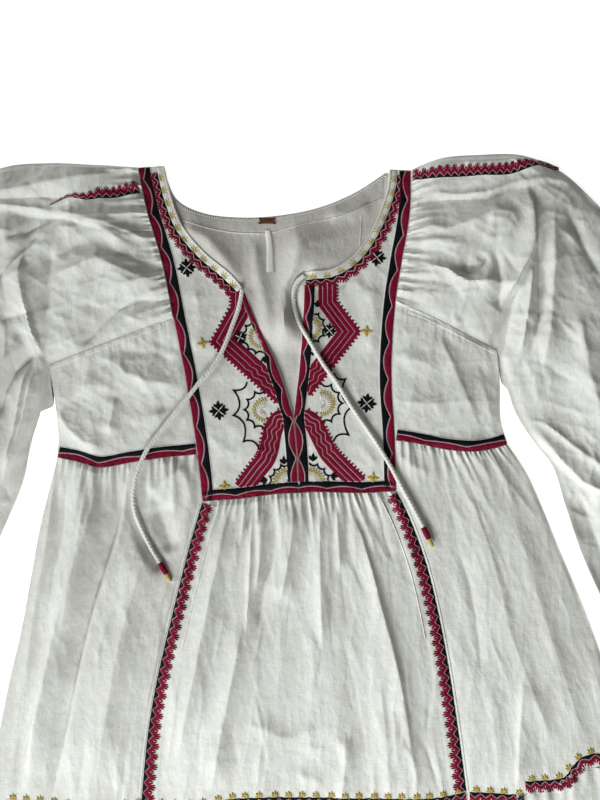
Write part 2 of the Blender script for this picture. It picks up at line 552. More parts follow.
def spline(rows, steps=24):
    """Centripetal curve through rows of three numbers."""
    points = np.array(rows, float)
    ends = 2 * points[:1] - points[1:2], 2 * points[-1:] - points[-2:-1]
    points = np.vstack([ends[0], points, ends[1]])
    knots = np.concatenate([[0], np.cumsum(np.linalg.norm(np.diff(points, axis=0), axis=1) ** 0.5)])
    line = []
    for k in range(1, len(points) - 2):
        t = np.linspace(knots[k], knots[k + 1], steps, endpoint=False)[:, None]
        p, q = points[k - 1:k + 3], knots[k - 1:k + 3]
        a = [((q[i + 1] - t) * p[i] + (t - q[i]) * p[i + 1]) / (q[i + 1] - q[i]) for i in range(3)]
        b = [((q[i + 2] - t) * a[i] + (t - q[i]) * a[i + 1]) / (q[i + 2] - q[i]) for i in range(2)]
        line.append(((q[2] - t) * b[0] + (t - q[1]) * b[1]) / (q[2] - q[1]))
    return np.vstack(line + [points[-2:-1]])


class Edge:
    """Curves sewn end to end, read by share of length or by millimetres with an offset to one side.

    A curve is given as an array of points, or as a list of rows that it runs through.
    """

    SOFTEN = 9.0  # millimetres each way over which the edge's direction is taken

    def __init__(self, *curves):
        points = np.vstack([spline(each) if isinstance(each, list) else each for each in curves])
        keep = np.concatenate([[True], np.linalg.norm(np.diff(points[:, :2], axis=0), axis=1) > 1e-6])
        self.points = points[keep]
        self.run = run_of(self.points[:, :2])
        self.length = self.run[-1]

    def at(self, share):
        """Points at shares of the edge's length."""
        where = np.clip(share, 0, 1) * self.length
        return np.stack([np.interp(where, self.run, self.points[:, k]) for k in range(3)], axis=-1)

    def offset(self, along, away):
        """Plan points at millimetres along the edge, moved away to the left of its direction."""
        along = np.asarray(along, float)
        here = self.at(along / self.length)[..., :2]
        ahead = self.at((along + self.SOFTEN) / self.length)[..., :2]
        behind = self.at((along - self.SOFTEN) / self.length)[..., :2]
        run = unit(ahead - behind)
        past = np.where(along > self.length, along - self.length, np.minimum(along, 0))[..., None]
        return here + past * run + np.asarray(away)[..., None] * left_of(run)


def line(a, b):
    """A straight line between two rows of three numbers."""
    return np.linspace(np.array(a, float), np.array(b, float), 30)


def part(edge_line, y_from, y_to):
    """The stretch between two values of y of a curve that rises towards the neck."""
    inside = (edge_line[:, 1] > y_from) & (edge_line[:, 1] < y_to)

    def point(y):
        return [np.interp(y, edge_line[:, 1], edge_line[:, k]) for k in range(3)]

    return np.vstack([point(y_from), edge_line[inside], point(y_to)])


def patch(edges, steps):
    """A grid of points on the patch between four edges, and the shares across and up of each."""
    left, right, bottom, top = (edges[k] for k in ("left", "right", "bottom", "top"))
    wide, high = max(bottom.length, top.length), max(left.length, right.length)
    u = np.linspace(0, 1, max(3, math.ceil(wide / steps[0])))
    v = np.linspace(0, 1, max(3, math.ceil(high / steps[1])))
    u = u + (0.5 - u) * SEAM_GAP / wide
    v = v + (0.5 - v) * SEAM_GAP / high
    U, V = np.meshgrid(u, v)
    up = V[..., None]
    across = U[..., None]
    ruled_up = bottom.at(U) * (1 - up) + top.at(U) * up
    ruled_across = left.at(V) * (1 - across) + right.at(V) * across
    low = bottom.at(0.0) * (1 - across) + bottom.at(1.0) * across
    high_side = top.at(0.0) * (1 - across) + top.at(1.0) * across
    return ruled_up + ruled_across - low * (1 - up) - high_side * up, U, V


# Folds


def smooth(t):
    """From 0 to 1, with an even start and end."""
    t = np.clip(t, 0, 1)
    return t * t * (3 - 2 * t)


def crease_height(x, y, creases):
    """Sum of the ridges and valleys, each with its own flanks, uneven along it and fading at its ends."""
    total = np.zeros_like(x)
    for number, (route, left_width, right_width, height) in enumerate(creases):
        route = np.array(route, float)
        lengths = np.linalg.norm(np.diff(route, axis=0), axis=1)
        start = np.concatenate([[0], np.cumsum(lengths)])
        reach = CREASE_REACH * max(left_width, right_width)
        low, high = route.min(axis=0) - reach, route.max(axis=0) + reach
        window = (x > low[0]) & (x < high[0]) & (y > low[1]) & (y < high[1])
        px, py = x[window], y[window]
        best = np.full(px.shape, 1e9)
        side = np.zeros_like(px)
        where = np.zeros_like(px)
        for k, length in enumerate(lengths):
            run = (route[k + 1] - route[k]) / length
            dx, dy = px - route[k, 0], py - route[k, 1]
            t = np.clip(dx * run[0] + dy * run[1], 0, length)
            away = np.hypot(dx - t * run[0], dy - t * run[1])
            near = away < best
            best = np.where(near, away, best)
            side = np.where(near, run[0] * dy - run[1] * dx, side)
            where = np.where(near, start[k] + t, where)
        uneven = sum(np.sin(where / wave + shift * number) for wave, shift in UNEVEN_WAVES)
        width = np.where(side > 0, left_width, right_width) * (1 + UNEVEN_WIDTH * uneven)
        share = where / start[-1]
        ends = LEFT_AT_ENDS + (1 - LEFT_AT_ENDS) * smooth(share / RUN_OUT) * smooth((1 - share) / RUN_OUT)
        fade = smooth((1 - best / reach) * 3)  # over the outer third of its reach
        tall = height * (1 + UNEVEN_HEIGHT * uneven)
        total[window] += tall * ends * fade * np.exp(-((best / width) ** CRISP))
    return total


def small_creases(points, across, count, seed, spread, tall, longest):
    """Short crisp wrinkles strewn over a panel, which run about across it or up it."""
    draw = np.random.default_rng(seed)
    rows, columns = points.shape[:2]
    near = 3
    made = []
    for _ in range(count):
        j, i = draw.integers(near, rows - near), draw.integers(near, columns - near)
        ways = points[j, i + near] - points[j, i - near], points[j + near, i] - points[j - near, i]
        run = ways[0] if across else ways[1]
        turn = math.atan2(run[1], run[0]) + draw.normal(0, spread)
        length, bend = longest * draw.uniform(*SMALL_LENGTH), draw.normal(0, SMALL_BEND)
        along = np.array([math.cos(turn), math.sin(turn)]) * length
        beside = np.array([-along[1], along[0]]) * bend
        middle = points[j, i, :2]
        height = draw.choice(SMALL_WAYS) * tall * draw.uniform(*SMALL_HEIGHT)
        widths = [draw.uniform(*span) for span in SMALL_WIDTHS]
        route = [middle - along / 2, middle + beside, middle + along / 2]
        made.append((route, *draw.permutation(widths), height))
    return made


def gather_height(across, from_seam, count, reach, height, seed):
    """Uneven gathers that run out from a seam. across and from_seam are millimetres."""
    draw = np.random.default_rng(seed)
    whole = float(across.max())
    spacing = whole / count
    total = np.zeros_like(across)
    for k in range(count):
        place = (k + 0.5 + draw.uniform(*GATHER_SHIFT)) * spacing
        length = reach * draw.uniform(*GATHER_LENGTH)
        tall = height * draw.uniform(*GATHER_HEIGHT)
        width = spacing * draw.uniform(*GATHER_WIDTH)
        lean = draw.uniform(*GATHER_LEAN)
        spread = width * (1 + 0.9 * np.minimum(from_seam / reach, 1.5))  # a gather widens away from its seam
        away = across - place - lean * from_seam
        total += tall * np.exp(-((away / spread) ** 2)) * np.exp(-((from_seam / length) ** 1.4))
    return total


def slanting_waves(x, y, seed, lean, count, shortest, longest, phases):
    """Length, places along and beside its direction, and random phases of each wave."""
    draw = np.random.default_rng(seed)
    for _ in range(count):
        length = draw.uniform(shortest, longest)
        turn = draw.uniform(*lean)
        along = x * math.cos(turn) + y * math.sin(turn)
        beside = y * math.cos(turn) - x * math.sin(turn)
        yield length, along, beside, draw.uniform(0, 2 * math.pi, phases)


def ripple(x, y, seed, height, lean):
    """Soft unevenness of worn cloth, a sum of slanting waves; lean is the range of their directions."""
    count, _, longest = RIPPLES
    total = np.zeros_like(x)
    for length, along, beside, (phase,) in slanting_waves(x, y, seed, lean, *RIPPLES, phases=1):
        bend = 0.2 * length * np.sin(beside / (0.8 * length) + 2 * phase)
        total += length / longest * np.sin(2 * math.pi * (along + bend) / length + phase)
    return height * total / math.sqrt(count)


def crumple(x, y, seed, height, lean):
    """Small crisp wrinkles with sharp crests, each only in some places."""
    longest = CRUMPLES[-1]
    total = np.zeros_like(x)
    for length, along, beside, (phase, drift) in slanting_waves(x, y, seed, lean, *CRUMPLES, phases=2):
        bend = 0.3 * length * np.sin(beside / (0.9 * length) + drift)
        crest = (1 - np.abs(np.sin(math.pi * (along + bend) / length + phase))) ** 3
        spots = np.sin(beside / (1.6 * length) + phase) * np.sin(along / (2.1 * length) + drift)
        total += length / longest * crest * smooth(0.2 + spots)
    return height * total


def grow(share, whole):
    """From 0 at both ends of a panel to 1 at some millimetres in from them."""
    return smooth(np.minimum(share, 1 - share) * whole / SUPPLE)


def inside(edges, U, V):
    """From 0 along a panel's edges to 1 within it."""
    wide = 0.5 * (edges["bottom"].length + edges["top"].length)
    high = 0.5 * (edges["left"].length + edges["right"].length)
    return grow(U, wide) * grow(V, high)


# Materials


def material(name, roughness, colour):
    """A plain material, its node tree and its shader."""
    made = bpy.data.materials.new(name)
    made.use_nodes = True
    shader = made.node_tree.nodes["Principled BSDF"]
    shader.inputs["Roughness"].default_value = roughness
    shader.inputs["Base Color"].default_value = (*colour, 1)
    shader.inputs["Specular IOR Level"].default_value = 0.25
    return made, made.node_tree, shader


def node(tree, kind, **values):
    """A new node with values on its sockets or settings."""
    made = tree.nodes.new(kind)
    for key, value in values.items():
        if key in made.inputs:
            made.inputs[key].default_value = value
        else:
            setattr(made, key, value)
    return made


def stretched_noise(tree, coordinate, stretch, scale, detail):
    mapping = node(tree, "ShaderNodeMapping")
    mapping.inputs["Scale"].default_value = stretch
    tree.links.new(coordinate, mapping.inputs["Vector"])
    noise = node(tree, "ShaderNodeTexNoise", Scale=scale, Detail=detail)
    tree.links.new(mapping.outputs["Vector"], noise.inputs["Vector"])
    return noise.outputs["Fac"]


def ramp(tree, fac, stops):
    """Colours blended by a value between two stops."""
    made = node(tree, "ShaderNodeValToRGB")
    for element, (place, colour) in zip(made.color_ramp.elements, stops):
        element.position = place
        element.color = (*colour, 1)
    tree.links.new(fac, made.inputs["Fac"])
    return made.outputs["Color"]


def add(tree, a, b):
    made = node(tree, "ShaderNodeMath", operation="ADD")
    tree.links.new(a, made.inputs[0])
    tree.links.new(b, made.inputs[1])
    return made.outputs[0]


def scaled(tree, value, factor):
    made = node(tree, "ShaderNodeMath", operation="MULTIPLY")
    tree.links.new(value, made.inputs[0])
    made.inputs[1].default_value = factor
    return made.outputs[0]


def bump(tree, shader, height, strength, distance):
    made = node(tree, "ShaderNodeBump", Strength=strength, Distance=distance)
    tree.links.new(height, made.inputs["Height"])
    tree.links.new(made.outputs["Normal"], shader.inputs["Normal"])


def cotton(name, light, dark):
    """Plain slub weave: uneven warp and weft threads, with thin and thick places and fine crinkles."""
    made, tree, shader = material(name, 0.92, light)
    place = node(tree, "ShaderNodeTexCoord").outputs["Object"]
    weave = add(tree, stretched_noise(tree, place, *WARP), stretched_noise(tree, place, *WEFT))
    cloud = scaled(tree, stretched_noise(tree, place, *CLOUD), 0.30)
    streak = scaled(tree, stretched_noise(tree, place, *STREAK), 0.24)
    tone = add(tree, scaled(tree, weave, 0.23), add(tree, cloud, streak))
    tree.links.new(ramp(tree, tone, [(0.34, dark), (0.62, light)]), shader.inputs["Base Color"])
    crinkle = scaled(tree, stretched_noise(tree, place, *CRINKLE), CRINKLE_HEIGHT)
    bump(tree, shader, add(tree, weave, crinkle), 0.3, 0.0005)
    shader.inputs["Sheen Weight"].default_value = 0.12
    shader.inputs["Sheen Roughness"].default_value = 0.5
    return made


def thread(name, light, dark):
    """Twisted embroidery thread laid side by side, with a soft gloss along it."""
    made, tree, shader = material(name, 0.62, light)
    along = node(tree, "ShaderNodeUVMap", uv_map="thread").outputs["UV"]
    place = node(tree, "ShaderNodeTexCoord").outputs["Object"]
    strands = stretched_noise(tree, along, *STRANDS)
    cloud = stretched_noise(tree, place, *THREAD_CLOUD)
    tone = add(tree, scaled(tree, strands, 0.55), scaled(tree, cloud, 0.45))
    tree.links.new(ramp(tree, tone, [(0.32, dark), (0.66, light)]), shader.inputs["Base Color"])
    bump(tree, shader, strands, 0.7, 0.0004)
    shader.inputs["Specular IOR Level"].default_value = 0.1
    return made


PALETTE = {key: cotton(*tones) for key, tones in COTTONS.items()}
PALETTE.update({key: thread(*tones) for key, tones in THREADS.items()})


# Meshes


def mesh_object(name, points, faces, tones, indices=None, uv=None, sharp=None):
    """A smooth mesh in the materials named, creased only at angles over sharp, in degrees."""
    mesh = bpy.data.meshes.new(name)
    mesh.from_pydata((np.asarray(points) * MM).tolist(), [], faces)
    for tone in tones:
        mesh.materials.append(PALETTE[tone])
    mesh.polygons.foreach_set("use_smooth", [True] * len(mesh.polygons))
    if indices is not None:
        mesh.polygons.foreach_set("material_index", indices)
    if uv is not None:
        layer = mesh.uv_layers.new(name="thread")
        loops = np.zeros(len(mesh.loops), np.int32)
        mesh.loops.foreach_get("vertex_index", loops)
        layer.data.foreach_set("uv", (np.asarray(uv) * MM)[loops].ravel())
    if sharp is not None:
        mesh.set_sharp_from_angle(angle=math.radians(sharp))
    mesh.update()
    made = bpy.data.objects.new(name, mesh)
    bpy.context.scene.collection.objects.link(made)
    return made


def grid_faces(rows, columns, start=0, turned=False):
    """Four-sided faces between the points of a grid."""
    j, i = np.meshgrid(np.arange(rows - 1), np.arange(columns - 1), indexing="ij")
    a = (start + j * columns + i).ravel()
    quads = np.stack([a, a + 1, a + columns + 1, a + columns], axis=1)
    return quads[:, ::-1] if turned else quads


def rim(rows, columns):
    """Grid points round the edge of a grid, in order."""
    index = np.arange(rows * columns).reshape(rows, columns)
    return np.concatenate([index[0, :-1], index[:-1, -1], index[-1, :0:-1], index[:0:-1, 0]])


def turns_left(points):
    """Whether the rows of a grid run so that its faces look up."""
    a = points[1:, 1:] - points[:-1, :-1]
    b = points[1:, :-1] - points[:-1, 1:]
    return (a[..., 0] * b[..., 1] - a[..., 1] * b[..., 0]).sum() > 0


def shell(name, face_points, closed=None):
    """A thin shell of cloth under a grid of points on its face; its unseen underside is wider meshed.

    Along the row or column where it is closed, its edge reaches down to the back.
    """
    rows, columns = face_points.shape[:2]
    turned = not turns_left(face_points)
    lowest = face_points[..., 2]
    for _ in range(UNDER_STEP):
        padded = np.pad(lowest, 1, mode="edge")
        lowest = np.minimum.reduce([
            padded[1:-1, 1:-1], padded[:-2, 1:-1], padded[2:, 1:-1], padded[1:-1, :-2], padded[1:-1, 2:]])
    up = np.unique([*range(0, rows, UNDER_STEP), rows - 1])
    over = np.unique([*range(0, columns, UNDER_STEP), columns - 1])
    picked = np.ix_(up, over)
    under = face_points[picked].copy()
    under[..., 2] = lowest[picked] - SHELL
    if closed is not None:
        under[closed][..., 2] = np.minimum(under[closed][..., 2], REST + FRONT_TOP - SHELL)
    count = rows * columns
    edge = rim(rows, columns).tolist()
    place = {point: k for k, point in enumerate(edge)}
    low_edge = rim(len(up), len(over))
    above = (up[low_edge // len(over)] * columns + over[low_edge % len(over)]).tolist()
    walls = []
    for k, low in enumerate(low_edge.tolist()):
        after = (k + 1) % len(above)
        first, last = place[above[k]], place[above[after]] or len(edge)
        wall = [count + low, count + int(low_edge[after])]
        wall += [edge[m % len(edge)] for m in range(last, first - 1, -1)]
        walls.append(wall[::-1] if turned else wall)
    faces = grid_faces(rows, columns, 0, turned).tolist()
    faces += grid_faces(len(up), len(over), count, not turned).tolist() + walls
    points = np.vstack([face_points.reshape(-1, 3), under.reshape(-1, 3)])
    return mesh_object(name, points, faces, ["cotton"], sharp=PANEL_SHARP)


def finish_piece(piece, nodes):
    """Ties a piece to the frame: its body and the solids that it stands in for."""
    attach(piece, "root")
    if nodes:
        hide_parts(*nodes)
    return piece


# Front of the dress

CLOTH = {}  # pieces by name, for the cut of each sheet
FACES = []  # grids of the panels' faces, which the stitching is laid on


def beside_ties(points):
    """Seats the cloth under the ties: near a cord it rises or sinks to the cord's lower side."""
    for route in TIE_ROUTES.values():
        line_points = spline(np.array(route) / MM, 8)
        best = np.full(points.shape[:2], 1e9)
        height = np.zeros(points.shape[:2])
        for spot in line_points:
            away = np.hypot(points[..., 0] - spot[0], points[..., 1] - spot[1])
            height = np.where(away < best, spot[2], height)
            best = np.minimum(best, away)
        seat = height - TIE_DIAMETER / MM / 2 - TIE_CLEARANCE
        near = np.exp(-((np.maximum(best - TIE_SEAT, 0) / TIE_REACH) ** 2))
        points[..., 2] += near * (seat - points[..., 2])


def squeeze(height):
    """Keeps the tallest folds low."""
    over = np.maximum(height - HIGHEST_FOLD, 0)
    spare = HIGHEST_FOLD / 3
    return np.minimum(height, HIGHEST_FOLD) + spare * np.tanh(over / spare)


def front_panel(name, nodes, edges, creases, seed, loft=None, gathers=None, ripples=1.2, wrinkles=0.8,
                lean=ANY_WAY, steps=GRID, small=(0, 0.0, 0.0, 0), across=False, closed=None):
    """A front panel of cloth between its edges.

    small is the number of small creases, the spread of their directions, their height and their length.
    """
    points, U, V = patch(edges, steps)
    x, y = points[..., 0], points[..., 1]
    lift = DEEP * crease_height(x, y, creases) + ripple(x, y, seed, ripples, lean)
    lift = lift + crumple(x, y, seed + CRUMPLE_SEED, wrinkles, lean)
    count, *kind = small
    lift = lift + crease_height(x, y, small_creases(points, across, count, seed + SMALL_SEED, *kind))
    if loft is not None:
        lift = lift + loft(U, V)
    points[..., 2] += inside(edges, U, V) * lift
    if gathers is not None:
        points[..., 2] += gathers(U, V)
    low = REST + VALLEY * (points[..., 2] - REST)
    points[..., 2] = squeeze(np.maximum(points[..., 2], np.maximum(low, REST - DEEPEST))) + FRONT_TOP
    beside_ties(points)
    FACES.append(points)
    return finish_piece(shell(name, points, closed), nodes)


def bib_edges(half, foot):
    return {
        "left": Edge(half["bib_seam"]),
        "right": Edge(CENTRE, half["slit"], half["neck"]),
        "bottom": Edge(foot),
        "top": Edge(line(half["bib_seam"][-1], half["neck"][-1])),
    }


def side_edges(half):
    seam = spline(half["bib_seam"])
    return {
        "left": Edge(half["body_side"]),
        "right": Edge(part(seam, half["waist"][-1][1], half["arm_seam"][0][1])),
        "bottom": Edge(half["waist"]),
        "top": Edge(half["arm_seam"][::-1]),
    }


def sleeve_edges(half):
    seam = spline(half["bib_seam"])
    return {
        "left": Edge(part(seam, half["arm_seam"][0][1], half["bib_seam"][-1][1])),
        "right": Edge(line(half["arm_inner"][-1], half["arm_outer"][-1])),
        "bottom": Edge(half["arm_seam"], half["arm_inner"]),
        "top": Edge(half["arm_outer"]),
    }


def skirt_side_edges(half):
    seam = part(spline(half["bib_seam"]), half["bib_seam"][0][1], half["waist"][-1][1])
    return {
        "left": Edge(half["skirt_side"][::-1]),
        "right": Edge(half["strip"][::-1], seam),
        "bottom": Edge(half["tier_seam"]),
        "top": Edge(half["waist"]),
    }


SKIRT_CENTRE_EDGES = {
    "left": Edge(LEFT["strip"][::-1]),
    "right": Edge(RIGHT["strip"][::-1]),
    "bottom": Edge(TIER_CENTRE),
    "top": Edge(FOOT_LEFT, FOOT_RIGHT[::-1]),
}
TIER_EDGES = {
    "left": Edge(line(LEFT["hem"][0], LEFT["tier_seam"][0])),
    "right": Edge(line(RIGHT["hem"][0], RIGHT["tier_seam"][0])),
    "bottom": Edge(LEFT["hem"], HEM_CENTRE, RIGHT["hem"][::-1]),
    "top": Edge(LEFT["tier_seam"], TIER_CENTRE, RIGHT["tier_seam"][::-1]),
}


def from_top(edges, count, reach, height, seed, pucker=1.9):
    """Gathers hanging from a panel's top seam: long ones, with small puckers between them."""
    wide, high = edges["top"].length, edges["left"].length
    return lambda U, V: (
        gather_height(U * wide, (1 - V) * high, count, reach, height, seed)
        + gather_height(
            U * wide, (1 - V) * high, round(wide / PUCKER_STEP), PUCKER_REACH, pucker, seed + PUCKER_SEED)
    )


def sleeve_loft(slack):
    """A sleeve's arch from its lower edge to its upper one; a slack sleeve lies flatter along the arm."""

    def height(U, V):
        arch = np.sin(math.pi * V) ** (0.7 + slack * smooth((U - SLACK_FROM) * 6))
        return SLEEVE_LOFT * arch * (1 - np.exp(-U * SLEEVE_LENGTH / SLEEVE_RISE)) * smooth((1 - U) * 5)

    return height


def skirt_loft(loft):
    """A flat arch over a panel of the skirt."""
    return lambda U, V: loft * (np.sin(math.pi * U) * np.sin(math.pi * V)) ** 0.5


def sleeve_gathers(edges, seed):
    """Gathers at the bib seam and at the cuff."""
    wide = 0.5 * (edges["bottom"].length + edges["top"].length)
    seam = edges["left"].length
    cuff = edges["right"].length
    return lambda U, V: (
        gather_height(V * seam, U * wide, *SLEEVE_GATHERS, seed)
        + gather_height(V * seam, U * wide, *SLEEVE_PUCKERS, seed + PUCKER_SEED)
        + gather_height(V * cuff, (1 - U) * wide, *CUFF_GATHERS, seed + 1)
    )


def tier_gathers(U, V):
    """Gathers under the tier seam, and longer folds up from the hem."""
    wide, high = TIER_EDGES["top"].length, TIER_EDGES["left"].length
    at_seam = gather_height(U * wide, (1 - V) * high, *TIER_GATHERS, seed=71)
    at_hem = gather_height(U * wide, V * high, *HEM_GATHERS, seed=72)
    return at_seam + at_hem * smooth((1 - V) * 1.4)


def front_half(side, half, foot, seed):
    """The bib, side, sleeve and skirt panels of one half."""

    def make(kind, node_name, edges, **how):
        name = f"{kind}_{side}"
        CLOTH[name] = front_panel(f"{name}_cloth", [node_name], edges, CREASES[name], **how)

    make("bib", f"front_bib_{side}", bib_edges(half, foot), seed=seed, ripples=0.8, wrinkles=0.4,
         small=(40, 0.6, 0.4, 45))
    edges = side_edges(half)
    make("side", f"side_bodice_{side}", edges, gathers=from_top(edges, 14, 20, 0.7, seed + 1, 0.6),
         seed=seed + 2, wrinkles=0.7, steps=(1.5, 1.7), small=(60, 0.6, SIDE_WRINKLES[side], 40))
    edges = sleeve_edges(half)
    make("sleeve", f"sleeve_{side}_front", edges, loft=sleeve_loft(SLACK[side]),
         gathers=sleeve_gathers(edges, seed + 3), seed=seed + 5, wrinkles=0.9, steps=(2.1, 1.35),
         small=(250, 0.45, 1.3, 62), across=True, closed=LOWER_EDGE)
    edges = skirt_side_edges(half)
    make("skirt", f"skirt_front_{side}", edges, loft=skirt_loft(1.5),
         gathers=from_top(edges, 16, 60, SKIRT_GATHERS[side], seed + 6), seed=seed + 7, ripples=0.8,
         wrinkles=0.5, lean=UPRIGHT, steps=SKIRT_GRID, small=(90, 0.13, SKIRT_WRINKLES[side], 130),
         closed=SIDE_EDGE)


front_half("left", LEFT, FOOT_LEFT, seed=11)
front_half("right", RIGHT, FOOT_RIGHT, seed=31)
CLOTH["skirt_centre"] = front_panel(
    "skirt_centre_cloth", ["skirt_front_centre"], SKIRT_CENTRE_EDGES, CREASES["skirt_centre"],
    loft=skirt_loft(4.0), gathers=from_top(SKIRT_CENTRE_EDGES, 30, 55, 3.0, 51), seed=52, ripples=0.8,
    wrinkles=0.5, lean=UPRIGHT, steps=SKIRT_GRID, small=(120, 0.13, 1.0, 130))
CLOTH["tier"] = front_panel(
    "tier_cloth", ["tier_front"], TIER_EDGES, CREASES["tier"], gathers=tier_gathers, seed=61, ripples=2.0,
    lean=UPRIGHT, steps=(2.2, 3.6))


# Back of the dress, flat underneath


def back_panel(name, nodes, edges, creases=(), steps=BACK_GRID, tone="cotton"):
    """A back panel with its face up and its underside on the surface."""
    points, U, V = patch(edges, steps)
    lift = DEEP * crease_height(points[..., 0], points[..., 1], creases)
    points[..., 2] = BACK_FACE + inside(edges, U, V) * np.maximum(lift, 0)
    if creases:
        beside_ties(points)
        points[..., 2] = np.maximum(points[..., 2], BACK_FACE)
    under = points.copy()
    under[..., 2] = 0
    rows, columns = points.shape[:2]
    turned = not turns_left(points)
    count = rows * columns
    edge = rim(rows, columns)
    after = np.roll(edge, -1)
    walls = np.stack([edge, edge + count, after + count, after], axis=1)
    faces = np.vstack([
        grid_faces(rows, columns, 0, turned),
        grid_faces(rows, columns, count, not turned),
        walls[:, ::-1] if turned else walls,
    ])
    both = np.vstack([points.reshape(-1, 3), under.reshape(-1, 3)])
    FACES.append(points)
    return finish_piece(mesh_object(name, both, faces.tolist(), [tone], sharp=PANEL_SHARP), nodes)


def sleeve_back_edges(half):
    armpit, fork, lowest = half["underarm"]
    below = [lowest] + [row for row in half["arm_inner"] if row[1] < lowest[1] - SEAM_GAP]
    return {
        "left": Edge(half["raglan"]),
        "right": Edge(line(half["arm_inner"][-1], half["arm_outer"][-1])),
        "bottom": Edge(line(armpit, fork), line(fork, lowest), below),
        "top": Edge(half["arm_outer"]),
    }


for side, half, *_ in HALVES:
    CLOTH[f"sleeve_{side}_back"] = back_panel(
        f"sleeve_{side}_back_cloth", [f"sleeve_{side}_back"], sleeve_back_edges(half))
BODICE_BACK_EDGES = {
    "left": Edge(LEFT["body_side"], LEFT["raglan"]),
    "right": Edge(RIGHT["body_side"], RIGHT["raglan"]),
    "bottom": Edge(line(LEFT["waist"][0], RIGHT["waist"][0])),
    "top": Edge(
        line(LEFT["raglan"][-1], BACK_NECK[0]), BACK_NECK, line(BACK_NECK[-1], RIGHT["raglan"][-1])),
}
CLOTH["bodice_back"] = back_panel(
    "bodice_back_cloth", ["back_bodice"], BODICE_BACK_EDGES, CREASES["neck_inside"], (4.0, 4.0), "inside")
CLOTH["skirt_back"] = back_panel("skirt_back_cloth", ["skirt_back"], {
    "left": Edge(LEFT["back_skirt"][::-1]),
    "right": Edge(RIGHT["back_skirt"][::-1]),
    "bottom": Edge(line(LEFT["back_skirt"][-1], RIGHT["back_skirt"][-1])),
    "top": Edge(line(LEFT["back_skirt"][0], RIGHT["back_skirt"][0])),
})
BACK_HEM_LEFT = (LEFT["hem"][0][0] - BACK_SPREAD, LEFT["hem"][0][1], 0)
CLOTH["tier_back"] = back_panel("tier_back_cloth", ["tier_back"], {
    "left": Edge(line(BACK_HEM_LEFT, LEFT["back_skirt"][-1])),
    "right": Edge(line(RIGHT["hem"][0], RIGHT["back_skirt"][-1])),
    "bottom": Edge(line(BACK_HEM_LEFT, RIGHT["hem"][0])),
    "top": Edge(line(LEFT["back_skirt"][-1], RIGHT["back_skirt"][-1])),
})


# Stitching laid on the cloth


def surface_tree(grids):
    """All the panels' faces, for finding the height of the cloth."""
    points, faces, start = [], [], 0
    for grid in grids:
        rows, columns = grid.shape[:2]
        points.append(grid.reshape(-1, 3))
        faces.append(grid_faces(rows, columns, start))
        start += rows * columns
    return BVHTree.FromPolygons(np.vstack(points).tolist(), np.vstack(faces).tolist())


SURFACE = surface_tree(FACES)


def cloth_height(x, y):
    """Height of the topmost cloth at a place."""
    hit = SURFACE.ray_cast(Vector((x, y, ABOVE)), DOWN)[0]
    return BACK_TOP if hit is None else hit.z


